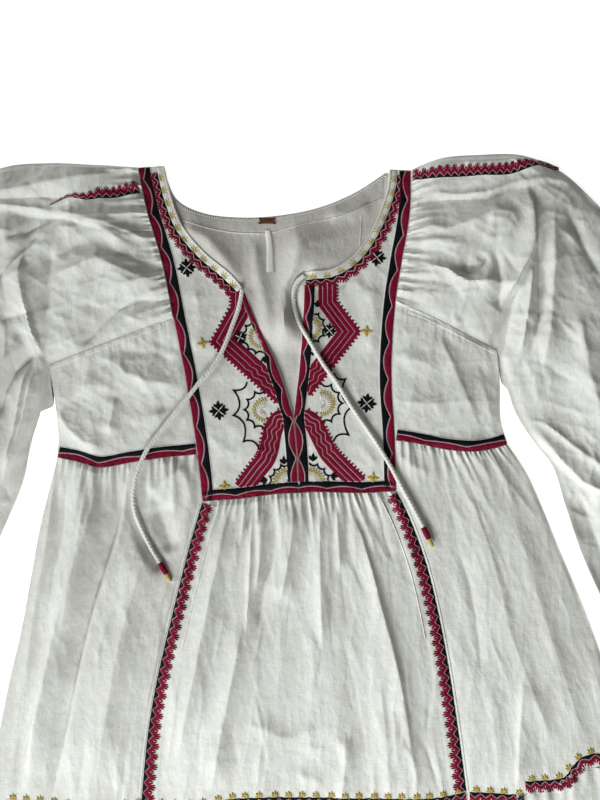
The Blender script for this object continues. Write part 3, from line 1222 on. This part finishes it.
class Stitching:
    """Strips, petals and strokes of thread on the cloth, gathered into one mesh."""

    NARROW = np.array([0.0, 0.14, 0.5, 0.86, 1.0])  # points across a strip, as shares of its width
    WIDE = np.array([0.0, 0.05, 0.2, 0.35, 0.5, 0.65, 0.8, 0.95, 1.0])
    WIDE_FROM = 5.0
    SUNK = -0.12  # the edges of a strip end just under the cloth

    def __init__(self, limit=None):
        self.points, self.faces, self.colours, self.uv = [], [], [], []
        self.count = 0
        self.limit = limit  # moves points that lie past the edge of the cloth back to it

    def strip(self, left, right, colour, base, rise, along_thread=False):
        """Fills between two lines of the plan with a strip, base above the cloth and crowned by rise."""
        left, right = np.asarray(left, float), np.asarray(right, float)
        wide = np.linalg.norm(right - left, axis=1)
        steps = self.WIDE if wide.max() > self.WIDE_FROM else self.NARROW
        plan = left[:, None] * (1 - steps)[None, :, None] + right[:, None] * steps[None, :, None]
        crown = base + rise * (1 - (2 * steps - 1) ** 2)
        crown[[0, -1]] = self.SUNK
        lift = np.broadcast_to(crown, plan.shape[:2])
        if self.limit is not None:
            plan, past = self.limit(plan)
            lift = np.where(past, self.SUNK, lift)
        middle = 0.5 * (left + right)
        along = np.repeat(run_of(middle)[:, None], len(steps), axis=1)
        across = wide[:, None] * steps[None]
        uv = np.stack([across, along] if along_thread else [along, across], axis=-1)
        widest = int(np.argmax(wide))
        turn = right[widest] - left[widest]
        ahead = middle[min(widest + 1, len(middle) - 1)] - middle[max(widest - 1, 0)]
        turned = turn[0] * ahead[1] - turn[1] * ahead[0] < 0
        self.faces.append(grid_faces(len(left), len(steps), self.count, turned))
        self.points.append(np.concatenate([plan, lift[..., None]], axis=-1).reshape(-1, 3))
        self.uv.append(uv.reshape(-1, 2))
        self.colours += [colour] * len(self.faces[-1])
        self.count += len(left) * len(steps)

    def petal(self, start, end, width, colour, base, rise, fullest=0.5):
        """A pointed satin-stitch leaf from start to end, widest at the share fullest."""
        start, end = np.asarray(start, float), np.asarray(end, float)
        t = np.linspace(0, 1, 7)
        bulge = np.sin(math.pi * t ** (math.log(0.5) / math.log(fullest))) ** 0.85 + 0.06
        middle = start + (end - start) * t[:, None]
        normal = left_of(unit(end - start)) * width / 2
        self.strip(middle - normal * bulge[:, None], middle + normal * bulge[:, None], colour, base, rise)

    def stroke(self, route, width, colour, base, rise):
        """A line of thread along a route."""
        route = np.asarray(route, float)
        normal = left_of(unit(np.gradient(route, axis=0))) * width / 2
        self.strip(route - normal, route + normal, colour, base, rise, along_thread=True)

    def sew(self, name, kind="stitching"):
        """Keeps the work as the piece that stands in for the solid of this name."""
        CLOTH[name] = self.build(f"{name}_{kind}", [name])

    def build(self, name, nodes):
        """Drops the work on the cloth and makes one mesh of it."""
        points = np.vstack(self.points)
        points[:, 2] += [cloth_height(x, y) for x, y in points[:, :2]]
        names = sorted(set(self.colours))
        indices = [names.index(each) for each in self.colours]
        made = mesh_object(name, points, np.vstack(self.faces).tolist(), names, indices, np.vstack(self.uv))
        return finish_piece(made, nodes)


def samples(start, end):
    """Places along an edge, about two millimetres apart."""
    return np.linspace(start, end, max(3, round(abs(end - start) / 2.0) + 1))


def band_strip(work, edge, start, end, near, far, colour, base, rise):
    """A strip between two distances from an edge, each a number or a function of the place along it."""
    s = samples(start, end)
    distance = [d(s) if callable(d) else np.full_like(s, d) for d in (near, far)]
    work.strip(edge.offset(s, distance[0]), edge.offset(s, distance[1]), colour, base, rise)


def scalloped_tape(work, edge, start, end, width, side, least, most, repeat=SCALLOP, phase=0.0):
    """Crimson scallops along the edge, a pale outline and a dark band beyond; width may vary along it."""

    def whole(s, add=0.0):
        return side * (add + (width(s) if callable(width) else np.full_like(s, width)))

    def curve(s, add=0.0):
        scallop = least + (most - least) * np.abs(np.sin(math.pi * (s + phase) / repeat))
        return side * (add + np.minimum(scallop, np.abs(whole(s)) - OUTLINE - 0.2))

    band_strip(work, edge, start, end, 0.0, whole, "cotton", 0.15, 0.15)
    band_strip(work, edge, start, end, side * 0.5, curve, "crimson", 0.4, 0.6)
    band_strip(work, edge, start, end, curve, lambda s: curve(s, OUTLINE), "pale", 0.75, 0.3)
    band_strip(work, edge, start, end, lambda s: curve(s, OUTLINE), whole, "navy", 0.4, 0.6)
    band_strip(work, edge, start, end, lambda s: whole(s, -0.2), lambda s: whole(s, 0.7), "white", 0.25, 0.3)


def toothed_strip(work, edge, start, end, side, base_at=0.0, reach=STRIP_WIDTH, repeat=TOOTH, ground=1.0):
    """Dark triangles along the edge, a pale zigzag and crimson sprays; reach may vary along the edge."""
    count = max(1, round((end - start) / repeat))
    pitch = (end - start) / count
    s = np.linspace(start, end, 8 * count + 1)
    width = reach(s) if callable(reach) else np.full_like(s, reach)
    peak = 1 - np.abs(((s - start) / pitch) % 1.0 - 0.5) * 2  # 0 at the ends of a repeat, 1 in its middle

    def between(low, high, colour, base, rise):
        near, far = (edge.offset(s, side * (base_at + away)) for away in (low, high))
        work.strip(near, far, colour, base, rise)

    zigzag = width * (0.06 + 0.34 * peak)
    between(-0.4 + 0 * s, width + ground, "cotton", 0.12, 0.12)
    between(0.2 + 0 * s, zigzag, "navy", 0.4, 0.4)
    between(zigzag, zigzag + 0.9, "pale", 0.7, 0.25)
    between(zigzag + 0.9, width * (0.50 + 0.30 * peak), "crimson", 0.45, 0.5)
    for k in range(count):
        middle = start + (k + 0.5) * pitch
        wide = float(np.interp(middle, s, width))
        for lean, foot, tip in SPRAY:
            ends = edge.offset(
                np.array([middle + lean * pitch, middle + 1.3 * lean * pitch]),
                side * (base_at + wide * np.array([foot, tip])))
            work.petal(ends[0], ends[1], 0.19 * pitch, "crimson", 0.45, 0.5, 0.5)


def floret(work, foot, direction, size):
    """A small crown of yellow petals on a foot."""
    direction = unit(direction)
    foot = np.asarray(foot, float)
    across = left_of(direction)
    for turn, share, wide in FLORET_PETALS:
        way = direction * math.cos(turn) + across * math.sin(turn)
        work.petal(foot - 0.1 * size * way, foot + way * size * share, size * wide, "yellow", 0.45, 0.6, 0.6)


def neck_bands(side, half, sign):
    """The white neck band with florets, and the toothed border inside it."""
    edge = Edge(half["neck"])
    end = edge.length - 1.0
    band = Stitching()
    band_strip(band, edge, 0.0, end, 0.0, sign * NECK_BAND, "cotton", 0.3, 0.6)
    band_strip(band, edge, 0.0, end, sign * -0.2, sign * 2.4, "white", 0.5, 1.2)
    for s in np.arange(2.0, end - 2.0, 2.6):
        wrap = edge.offset(np.array([s, s + 1.6]), sign * np.array([0.0, 2.6]))
        band.petal(wrap[0], wrap[1], 1.3, "white", 1.1, 0.7)
    for k in range(int(end / FLORET)):
        place = edge.offset(np.array([(k + 0.6) * FLORET] * 2), sign * np.array([7.6, 2.0]))
        floret(band, place[0], place[1] - place[0], 7.0)
    band.sew(f"neck_band_{side}", "cloth")
    border = Stitching()
    toothed_strip(border, edge, 0.5, end - 5.0, sign, NECK_BAND, NECK_BORDER, NECK_TOOTH)
    border.sew(f"neck_border_{side}")


def lone_tape(name, slot, rows, start, short, *how):
    """A scalloped tape as a piece of its own, which ends short of its edge's end."""
    edge = Edge(rows)
    tape = Stitching()
    scalloped_tape(tape, edge, start, edge.length - short, *how)
    tape.sew(name)


def bib_tapes(side, half, foot, sign):
    """Scalloped tapes down the bib seam, across its foot and along the slit."""
    lone_tape(f"tape_bib_{side}", CRIMSON, half["bib_seam"], 2.0, 1.5, TAPE_WIDTH, -sign, 3.0, 8.6)
    lone_tape(f"tape_foot_{side}", BLUE, foot, 1.0, 0.4, FOOT_WIDTH, sign, 3.6, 6.4, 37.0)
    inner = Edge(CENTRE, half["slit"])
    closed = Edge(CENTRE).length
    tape = Stitching()
    scalloped_tape(tape, inner, FOOT_WIDTH, closed, SLIT_TAPE, sign, 0.5, 7.0, 40.0, 3.0)

    def shown(s):
        return np.interp(s - closed, *SLIT_WIDTHS[side])

    scalloped_tape(tape, inner, closed, inner.length - SLIT_END[side], shown, sign, 2.6, 7.6, 38.0)
    band_strip(tape, inner, FOOT_WIDTH, closed, 0.0, sign * 0.8, "pale", 0.9, 0.4)
    tape.sew(f"tape_slit_{side}")


# Motifs of the bib


def band_route(corners, curved):
    """Points along a band's middle, and the way to its left, longer at a corner so that rows stay even."""
    corners = np.array(corners, float)
    if curved:
        points = spline(np.column_stack([corners, np.zeros(len(corners))]), 9)[:, :2]
        return points, left_of(unit(np.gradient(points, axis=0)))
    normals = left_of(unit(np.diff(corners, axis=0)))
    mitres = [normals[0]]
    for a, b in zip(normals[:-1], normals[1:]):
        mitres.append(2 * (a + b) / ((a + b) @ (a + b)))
    mitres.append(normals[-1])
    t = np.linspace(0, 1, 40)[:, None]
    points, ways = [], []
    for k in range(len(normals)):
        points.append(corners[k] * (1 - t) + corners[k + 1] * t)
        ways.append(mitres[k] * (1 - t) + mitres[k + 1] * t)
    return np.vstack(points), np.vstack(ways)


def banded(work, corners, curved, row, outer, calm):
    """Four crimson rows with pale wavy lines between them, and bobbles along the outer edge.

    calm is the share of its length where the lines turn from straight to wavy, or the other way below 0.
    """
    points, ways = band_route(corners, curved)
    length = run_of(points)
    share = length / length[-1]
    wavy = smooth((share - calm) * 9) if calm > 0 else smooth((-calm - share) * 9)
    wave = (wavy * ROW_WAVE * np.sin(2 * math.pi * length / ROW_PERIOD))[:, None]
    half_width = (ROWS * row + (ROWS - 1) * ROW_LINE) / 2
    for k in range(ROWS):
        low = -half_width + k * (row + ROW_LINE)
        low_wave, high_wave = wave * (k > 0), wave * (k < ROWS - 1)
        work.strip(
            points + ways * (low + low_wave), points + ways * (low + row + high_wave), "crimson", 0.25, 0.35)
        if k:
            work.strip(
                points + ways * (low - ROW_LINE + wave), points + ways * (low + wave), "pale", 0.42, 0.2)
    for s in np.arange(2.0, length[-1] - 1.0, BOBBLE_STEP):
        spot = np.array([np.interp(s, length, points[:, k]) for k in range(2)])
        way = np.array([np.interp(s, length, ways[:, k]) for k in range(2)]) * outer
        out = unit(way)
        foot = spot + way * half_width
        work.petal(foot - 0.9 * out, foot + 2.3 * out, BOBBLE, "crimson", 0.25, 0.45, 0.6)


def arc(centre, radius, start, end):
    """Points on a part of a circle, between two directions in degrees."""
    t = np.radians(np.linspace(start, end, 20))
    return np.stack([centre[0] + radius * np.cos(t), centre[1] + radius * np.sin(t)], axis=1)


def wheel(work, centre, radius, facing, spread):
    """White spokes round a small ring, with two rows of yellow stitches outside them."""
    centre = np.array(centre, float)
    spokes = max(5, round(2 * math.radians(spread) * radius / 2.6))
    step = 2 * spread / (spokes - 1)
    work.stroke(arc(centre, 0.2 * radius, facing - spread, facing + spread), 1.1, "white", 0.25, 0.35)
    for turn in facing + np.linspace(-spread, spread, spokes):
        way = heading(turn)
        work.petal(centre + 0.25 * radius * way, centre + 0.88 * radius * way, 1.8, "white", 0.25, 0.6)
        work.petal(centre + 0.82 * radius * way, centre + 1.08 * radius * way, 2.5, "straw", 0.3, 0.5)
    for turn in facing + np.linspace(-spread + step / 2, spread - step / 2, spokes - 1):
        way = heading(turn)
        work.petal(centre + 1.04 * radius * way, centre + 1.28 * radius * way, 2.3, "yellow", 0.3, 0.5)


def web(work, centre, cusps):
    """Navy arcs from cusp to cusp that sag towards the centre, with a point on each but the end cusps."""
    centre, cusps = np.array(centre, float), np.array(cusps, float)
    t = np.linspace(0, 1, 9)[:, None]
    for a, b in zip(cusps[:-1], cusps[1:]):
        middle = 0.5 * (a + b)
        pull = middle + 2 * WEB_SAG * np.linalg.norm(b - a) * unit(centre - middle)
        route = a * (1 - t) ** 2 + 2 * pull * t * (1 - t) + b * t ** 2
        work.stroke(route, WEB_LINE, "navy", 0.25, 0.4)
    for cusp in cusps[1:-1]:
        out = unit(cusp - centre)
        work.petal(cusp - 1.2 * out, cusp + 2.0 * out, 2.2, "navy", 0.25, 0.4, 0.35)


def ring_web(work, centre, radius, facing, spread, count):
    """A web with its cusps spaced evenly round a wheel."""
    turns = facing + np.linspace(-spread, spread, count + 1)
    web(work, centre, [np.array(centre) + radius * heading(turn) for turn in turns])


def sprig(work, foot, size, turn):
    """Three broad navy leaves from one foot."""
    way = heading(turn)
    work.petal(foot, foot + size * way, 0.42 * size, "navy", 0.25, 0.5, 0.55)
    for lean in (-36, 36):
        work.petal(foot, foot + 0.82 * size * heading(turn + lean), 0.36 * size, "navy", 0.25, 0.5, 0.62)


def lone_sprig(work, centre, size, turn):
    """A sprig set by its middle."""
    sprig(work, np.array(centre) - 0.5 * size * heading(turn), size, turn)


def snowflake(work, centre, size, turn):
    """Four sprigs round an open white cross."""
    centre = np.array(centre, float)
    for k in range(4):
        sprig(work, centre + 0.08 * size * heading(turn + 90 * k), 0.92 * size, turn + 90 * k)
    for k in range(4):
        work.petal(centre, centre + 0.72 * size * heading(turn + 45 + 90 * k), 1.3, "white", 0.5, 0.5)


def star(work, centre, size, turn):
    """Four broad yellow petals round an orange knot."""
    centre = np.array(centre, float)
    for k in range(4):
        way = heading(turn + 90 * k)
        work.petal(centre - 0.1 * size * way, centre + size * way, 0.72 * size, "yellow", 0.25, 0.6, 0.42)
    work.petal(centre - (1.2, 0), centre + (1.2, 0), 2.0, "orange", 0.85, 0.3)


def keep_off_slit(half, outer):
    """A limit that ends the bib's stitching under the slit tape."""
    slit = np.vstack([spline(CENTRE), spline(half["slit"])])

    def limit(plan):
        line_x = np.interp(plan[..., 1], slit[:, 1], slit[:, 0]) + outer * UNDER_TAPE
        past = outer * (plan[..., 0] - line_x) < 0
        return np.stack([np.where(past, line_x, plan[..., 0]), plan[..., 1]], axis=-1), past

    return limit


def bib_embroidery(side, half, outer):
    """All the motifs of one half of the bib; outer is the direction away from the slit."""
    motifs = MOTIFS[side]
    work = Stitching(keep_off_slit(half, outer))
    for corners, curved, row, calm in motifs["bands"]:
        banded(work, corners, curved, row, outer, calm)
    makers = {
        "wheels": wheel, "rings": ring_web, "webs": web, "sprigs": lone_sprig, "snowflakes": snowflake,
        "stars": star,
    }
    for kind, make in makers.items():
        for row in motifs[kind]:
            make(work, *row)
    CLOTH[f"embroidery_{side}"] = work.build(f"bib_{side}_embroidery", [])


for side, half, foot, sign in HALVES:
    bib_embroidery(side, half, -sign)
    neck_bands(side, half, sign)
    bib_tapes(side, half, foot, sign)


# Strips and seams of the skirt, sleeves and sides


def skirt_strip(side, half, sign):
    """A toothed strip with a flat edge on one side, and a narrow ridge beside its upper half on the other."""
    edge = Edge(half["strip"])
    end = edge.length - TIER_STRIP
    strip = Stitching()
    toothed_strip(strip, edge, 1.0, end, sign, ground=4.0)
    band_strip(strip, edge, 4.0, end, sign * -2.6, sign * -0.5, "cotton", 0.3, 0.35)
    inner = [sign * (STRIP_WIDTH + away) for away in (4.4, 5.6)]
    band_strip(strip, edge, 4.0, 0.5 * end, *inner, "cotton", 0.3, 0.4)
    strip.sew(f"strip_skirt_{side}")


def tier_strip(side, *routes):
    """Dark triangles and crimson sprays that point to the hem, with yellow florets above them."""
    strip = Stitching()
    for route in routes:
        edge, turned = Edge(route), Edge(spline(route)[::-1])
        toothed_strip(strip, turned, 0.8, turned.length - 0.8, 1, -TIER_STRIP + 1.0, TIER_STRIP - 2.2)
        along = samples(0.0, edge.length)
        feet, tips = edge.offset(along, TIER_STRIP - 0.4), edge.offset(along, TIER_STRIP + 4.0)
        run = run_of(feet)
        for place in np.arange(FLORET / 2, run[-1], FLORET):
            near = int(np.argmin(np.abs(run - place)))
            floret(strip, feet[near], tips[near] - feet[near], 5.6)
    strip.sew(f"strip_tier_{side}")


def shoulder_strip(side):
    """A toothed strip over the shoulder, which runs out where the cloth folds over it."""
    route, widths, up = SHOULDER[side]
    edge = Edge(level(0, *route))
    places = run_of(np.array(route, float))
    strip = Stitching()
    toothed_strip(
        strip, edge, 0.0, edge.length, up, 0.0, lambda s: np.interp(s, places, widths), SHOULDER_TOOTH, 0.4)
    strip.sew(f"strip_shoulder_{side}")


def arm_seam(side, half, sign):
    """The felled seam between a side panel and its sleeve, with a row of stitches."""
    edge = Edge(half["arm_seam"])
    seam = Stitching()
    start = 15.0  # from the bib seam
    band_strip(seam, edge, start, edge.length - 2.0, sign * -1.8, sign * FELL, "cotton", 0.2, 0.35)
    for s in np.arange(start + 2.0, edge.length - 5.0, 3.4):
        stitch = edge.offset(np.array([s, s + 2.2]), sign * np.array([FELL - 1.2] * 2))
        seam.petal(stitch[0], stitch[1], 0.8, "white", 0.35, 0.3)
    CLOTH[f"arm_seam_{side}"] = seam.build(f"arm_seam_{side}_stitching", [])


for side, half, _, sign in HALVES:
    lone_tape(f"tape_waist_{side}", BLUE, half["waist"], 0.8, 0.6, WAIST_TAPE, sign, 4.6, 7.0, 46.0)
    skirt_strip(side, half, sign)
    shoulder_strip(side)
    arm_seam(side, half, sign)
tier_strip("left", LEFT["tier_seam"])
tier_strip("centre", TIER_CENTRE)
tier_strip("right", *TIER_RIGHT)


# Neck facing and labels, inside the back


def neck_facing():
    """The facing along the back neck, its slanting stitches and the seam lines inside the back."""
    edge = Edge(BACK_NECK)
    lower = Edge(FACING_SEAM)
    share = np.linspace(0, 1, 90)
    upper_share = FACING_FROM + (FACING_TO - FACING_FROM) * share
    upper = edge.offset(upper_share * edge.length, np.full_like(share, -0.8))
    work = Stitching()
    work.strip(upper, lower.at(share)[:, :2], "facing", 0.35, 0.3)
    work.stroke(lower.at(share)[:, :2], 1.3, "inside", 0.5, 0.5)
    for s in np.arange(FACING_FROM * edge.length, FACING_TO * edge.length, 2.8):
        stitch = edge.offset(np.array([s, s + 2.6]), np.array([-1.0, -4.4]))
        work.petal(stitch[0], stitch[1], 1.5, "white", 0.6, 0.6)
    work.stroke(Edge(BACK_SEAM).at(share)[:, :2], 1.0, "inside", 0.3, 0.3)
    CLOTH["neck_facing"] = work.build("neck_facing_cloth", ["neck_facing_back"])


def labels():
    """A bare brown plate with notched ends, and a bare white ribbon below it."""
    plate = Stitching()
    x, y, wide, high, notch = PLATE
    share = np.linspace(-1, 1, 11)[:, None] * (wide / 2 - notch)
    rows = [np.concatenate([x + share, y + up + 0 * share], axis=1) for up in (high / 2, -high / 2)]
    plate.strip(rows[0], rows[1], "brown", 1.4, 0.25)
    for way in (-1, 1):
        for up in (-1, 1):
            corner = np.array([x + way * wide / 2, y + up * 0.4 * high])
            plate.petal(corner - (way * 2.6 * notch, 0), corner, 0.36 * high, "brown", 1.3, 0.3)
    plate.sew("label_plate", "cloth")
    ribbon = Stitching()
    t = np.linspace(0, 1, 18)[:, None]
    top, foot = np.array(RIBBON[0], float), np.array(RIBBON[1], float)
    middle = top * (1 - t) + foot * t + np.concatenate([0.8 * np.sin(5 * t), 0 * t], axis=1)
    half_width = np.concatenate([2.9 + 1.0 * t, 0.3 + 0 * t], axis=1)
    ribbon.strip(middle - half_width, middle + half_width, "satin", 1.2, 0.6)
    ribbon.sew("size_label", "cloth")


neck_facing()
labels()


# Cuffs


def cuff(side, half):
    """A flattened tube with shallow puckers on its upper side."""
    wall, height, length = CUFF
    inner, outer = (np.array(half[each][-1][:2], float) for each in ("arm_inner", "arm_outer"))
    across = outer - inner
    wide = np.linalg.norm(across)
    across = across / wide
    down = np.array([across[1], -across[0]])
    down = -down if down[1] > 0 else down
    middle = 0.5 * (inner + outer)
    turn = np.linspace(0, 2 * math.pi, 73)[:-1]
    rings = []
    along = np.linspace(0, 1, 22)
    profile = [(t, 0.0) for t in along] + [(t, wall) for t in along[::-1]]
    for t, inset in profile:
        reach, tall = wide / 2 - inset, height / 2 - inset
        soft = 1 - 0.05 * math.cos(2 * math.pi * t)
        x = reach * np.sign(np.cos(turn)) * np.abs(np.cos(turn)) ** 0.55
        z = tall * soft * np.sign(np.sin(turn)) * np.abs(np.sin(turn)) ** 0.8
        z = z + 0.35 * np.sin(9 * turn + 4 * t) * (z > 0) * (inset == 0)
        plan = middle + across * x[:, None] + down * (0.45 + t * length)
        z = height / 2 + np.maximum(z, -height / 2 + inset)
        rings.append(np.concatenate([plan, z[:, None]], axis=1))
    points = np.array(rings)
    rows, columns = points.shape[:2]
    index = np.arange(rows * columns).reshape(rows, columns)
    nxt = np.roll(index, -1, axis=1)
    below = np.roll(index, -1, axis=0)
    faces = np.stack([index, nxt, np.roll(nxt, -1, axis=0), below], axis=-1).reshape(-1, 4)
    points = points.reshape(-1, 3)
    made = mesh_object(f"cuff_{side}_cloth", points, faces.tolist(), ["cotton"], sharp=CUFF_SHARP)
    return finish_piece(made, [f"cuff_{side}"])


for side, half, *_ in HALVES:
    CLOTH[f"cuff_{side}"] = cuff(side, half)


# Ties


def tie_line(route):
    """Evenly spaced points along a tie, in millimetres, and its length."""
    points = spline(np.array(route) / MM, 40)
    run = run_of(points)
    where = np.linspace(0, run[-1], 420)
    return np.stack([np.interp(where, run, points[:, k]) for k in range(3)], axis=1), run[-1]


def tube(name, route, radius, sides, tone):
    """A closed tube along a route; radius is a function of share along and turn round it."""
    run = unit(np.gradient(route, axis=0))
    side = unit(np.cross(run, [0, 0, 1.0]))
    up = np.cross(side, run)
    turn = np.linspace(0, 2 * math.pi, sides, endpoint=False)
    share = np.linspace(0, 1, len(route))[:, None]
    r = radius(share, turn[None])
    over, beside = (r * way(turn)[None] for way in (np.sin, np.cos))
    ring = side[:, None] * beside[..., None] + up[:, None] * over[..., None]
    points = (route[:, None] + ring).reshape(-1, 3)
    rows = len(route)
    index = np.arange(rows * sides).reshape(rows, sides)
    nxt = np.roll(index, -1, axis=1)
    faces = np.stack([index[:-1], nxt[:-1], nxt[1:], index[1:]], axis=-1).reshape(-1, 4)[:, ::-1].tolist()
    faces += [index[0].tolist(), index[-1][::-1].tolist()]
    along = np.repeat(np.linspace(0, rows, rows)[:, None], sides, axis=1)
    uv = np.stack([along, np.repeat(turn[None] * 2, rows, axis=0)], axis=-1).reshape(-1, 2)
    return mesh_object(name, points, faces, [tone], uv=uv)


def tie(side):
    """A twisted cotton tie, the crimson thread wound round its end and a yellow tuft."""
    route, length = tie_line(TIE_ROUTES[side])
    twist = 2 * math.pi * length / TWIST
    half = TIE_DIAMETER / MM / 2
    ahead = route[-1] - route[-4]
    ahead[2] = 0
    ahead = unit(ahead)
    wrap_start = route[-1] + ahead * SEAM_GAP
    tuft_start = wrap_start + ahead * (WRAP_LENGTH + SEAM_GAP)

    def cord_radius(share, turn):
        return half * (0.76 + 0.24 * np.abs(np.cos(turn - twist * share)))

    def wrap_radius(share, turn):
        return 2.75 + 0.32 * np.sin(math.pi * share) + 0.16 * np.sin(2 * math.pi * 13 * share + turn)

    def tuft_radius(share, turn):
        return (2.35 - 0.8 * share ** 2) * (0.86 + 0.14 * np.abs(np.sin(4 * turn + 2 * share)))

    def straight(start, length, count):
        return start + ahead * np.linspace(0, length, count)[:, None]

    cord = tube(f"tie_{side}_cord", route, cord_radius, 18, "cotton")
    wrap = tube(f"tie_{side}_wound", straight(wrap_start, WRAP_LENGTH, 60), wrap_radius, 16, "crimson")
    tuft = tube(f"tie_{side}_tuft_thread", straight(tuft_start, TUFT_LENGTH, 26), tuft_radius, 32, "yellow")
    finish_piece(cord, [f"tie_{side}"])
    finish_piece(wrap, [f"tie_{side}_wrap"])
    finish_piece(tuft, [f"tie_{side}_tuft"])
    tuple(TIE_ROUTES[side][0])


tie("left")
tie("right")


# Cut of the cloth


def sewn(side, *kinds):
    """Names of the pieces sewn to a panel on one side."""
    return [f"{kind}_{side}" for kind in kinds]


BIB_PIECES = ("tape_bib", "tape_foot", "tape_slit", "neck_band", "neck_border", "embroidery")
SIDE_PIECES = ("tape_waist", "arm_seam")

# What each panel was cut to, in metres, the share of that rectangle that the cut fills, how it is held,
# what it rests on and what is sewn to it
SHEETS = {
    "bib_left": ((0.19, 0.38), 0.55, "laid", ["back_bodice"], sewn("left", *BIB_PIECES)),
    "bib_right": ((0.15, 0.37), 0.62, "laid", ["back_bodice"], sewn("right", *BIB_PIECES)),
    "side_left": ((0.17, 0.17), 0.82, "gathered", ["back_bodice"], sewn("left", *SIDE_PIECES)),
    "side_right": ((0.14, 0.17), 0.80, "gathered", ["back_bodice"], sewn("right", *SIDE_PIECES)),
    "sleeve_left": ((0.30, 0.72), 0.66, "gathered", ["sleeve_left_back"], ["strip_shoulder_left"]),
    "sleeve_right": ((0.30, 0.72), 0.64, "gathered", ["sleeve_right_back"], ["strip_shoulder_right"]),
    "skirt_left": ((0.20, 0.36), 0.85, "gathered", ["skirt_back"], ["strip_tier_left"]),
    "skirt_right": ((0.22, 0.37), 0.82, "gathered", ["skirt_back"], ["strip_tier_right"]),
    "skirt_centre": ((0.36, 0.32), 0.92, "gathered", ["skirt_back"],
                     ["strip_skirt_left", "strip_skirt_right", "strip_tier_centre"]),
    "tier": ((0.86, 0.205), 1.0, "gathered", ["tier_back"], []),
    "sleeve_left_back": ((0.28, 0.66), 0.55, "laid", [], []),
    "sleeve_right_back": ((0.28, 0.66), 0.53, "laid", [], []),
    "bodice_back": ((0.49, 0.32), 0.82, "laid", [], ["neck_facing", "label_plate", "size_label"]),
    "skirt_back": ((0.68, 0.36), 0.85, "laid", [], []),
    "tier_back": ((0.72, 0.205), 0.97, "laid", [], []),
    "cuff_left": ((0.21, 0.045), 1.0, "folded", [], []),
    "cuff_right": ((0.19, 0.045), 1.0, "folded", [], []),
}
for name, (cut, share, held, rests_on, pieces) in SHEETS.items():
    [CLOTH[each] for each in pieces]
    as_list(rests_on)


# Floor, light and camera


def floor():
    """A white floor that glows a little."""
    points = np.array([(-1, -1, 0), (1, -1, 0), (1, 1, 0), (-1, 1, 0)]) * FLOOR_HALF / MM
    PALETTE["floor"], _, shader = material("floor", 0.9, FLOOR_COLOUR)
    shader.inputs["Emission Color"].default_value = (1, 1, 1, 1)
    shader.inputs["Emission Strength"].default_value = FLOOR_GLOW
    plane = mesh_object("floor", points - np.array([0, 0, FLOOR_DROP]), [(0, 1, 2, 3)], ["floor"])
    plane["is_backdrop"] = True


def lamp(name, kind, place, power, colour):
    """A light at a place, aimed at the foot of the bib."""
    data = bpy.data.lights.new(name, kind)
    data.energy = power
    data.color = colour
    made = bpy.data.objects.new(name, data)
    made.location = place
    made.rotation_euler = (-Vector(place)).to_track_quat("-Z", "Y").to_euler()
    bpy.context.scene.collection.objects.link(made)
    return data


def light():
    """A window light from beyond the hem, a soft sun from the left, and a warm dim room."""
    world = bpy.data.worlds.new("studio")
    world.use_nodes = True
    background = world.node_tree.nodes["Background"]
    background.inputs["Color"].default_value = (*ROOM_COLOUR, 1)
    background.inputs["Strength"].default_value = ROOM_STRENGTH
    bpy.context.scene.world = world
    lamp("key", "AREA", KEY_PLACE, KEY_POWER, DAYLIGHT).size = KEY_SIZE
    lamp("side", "SUN", SIDE_PLACE, SIDE_POWER, DAYLIGHT).angle = SIDE_SPREAD


def camera():
    data = bpy.data.cameras.new("camera")
    data.lens = CAMERA_LENS
    data.clip_start = 0.05
    made = bpy.data.objects.new("camera", data)
    target = Vector(CAMERA_TARGET)
    made.location = target + CAMERA_DISTANCE * Vector((0, -math.sin(CAMERA_TILT), math.cos(CAMERA_TILT)))
    made.rotation_euler = (CAMERA_TILT, 0, 0)
    bpy.context.scene.collection.objects.link(made)
    bpy.context.scene.camera = made


floor()
light()
camera()
bpy.context.scene.view_settings.view_transform = "Standard"

boxes = {"cad": cad_box, "visual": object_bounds()}
{key: [[float(n) for n in corner] for corner in box] for key, box in boxes.items()}
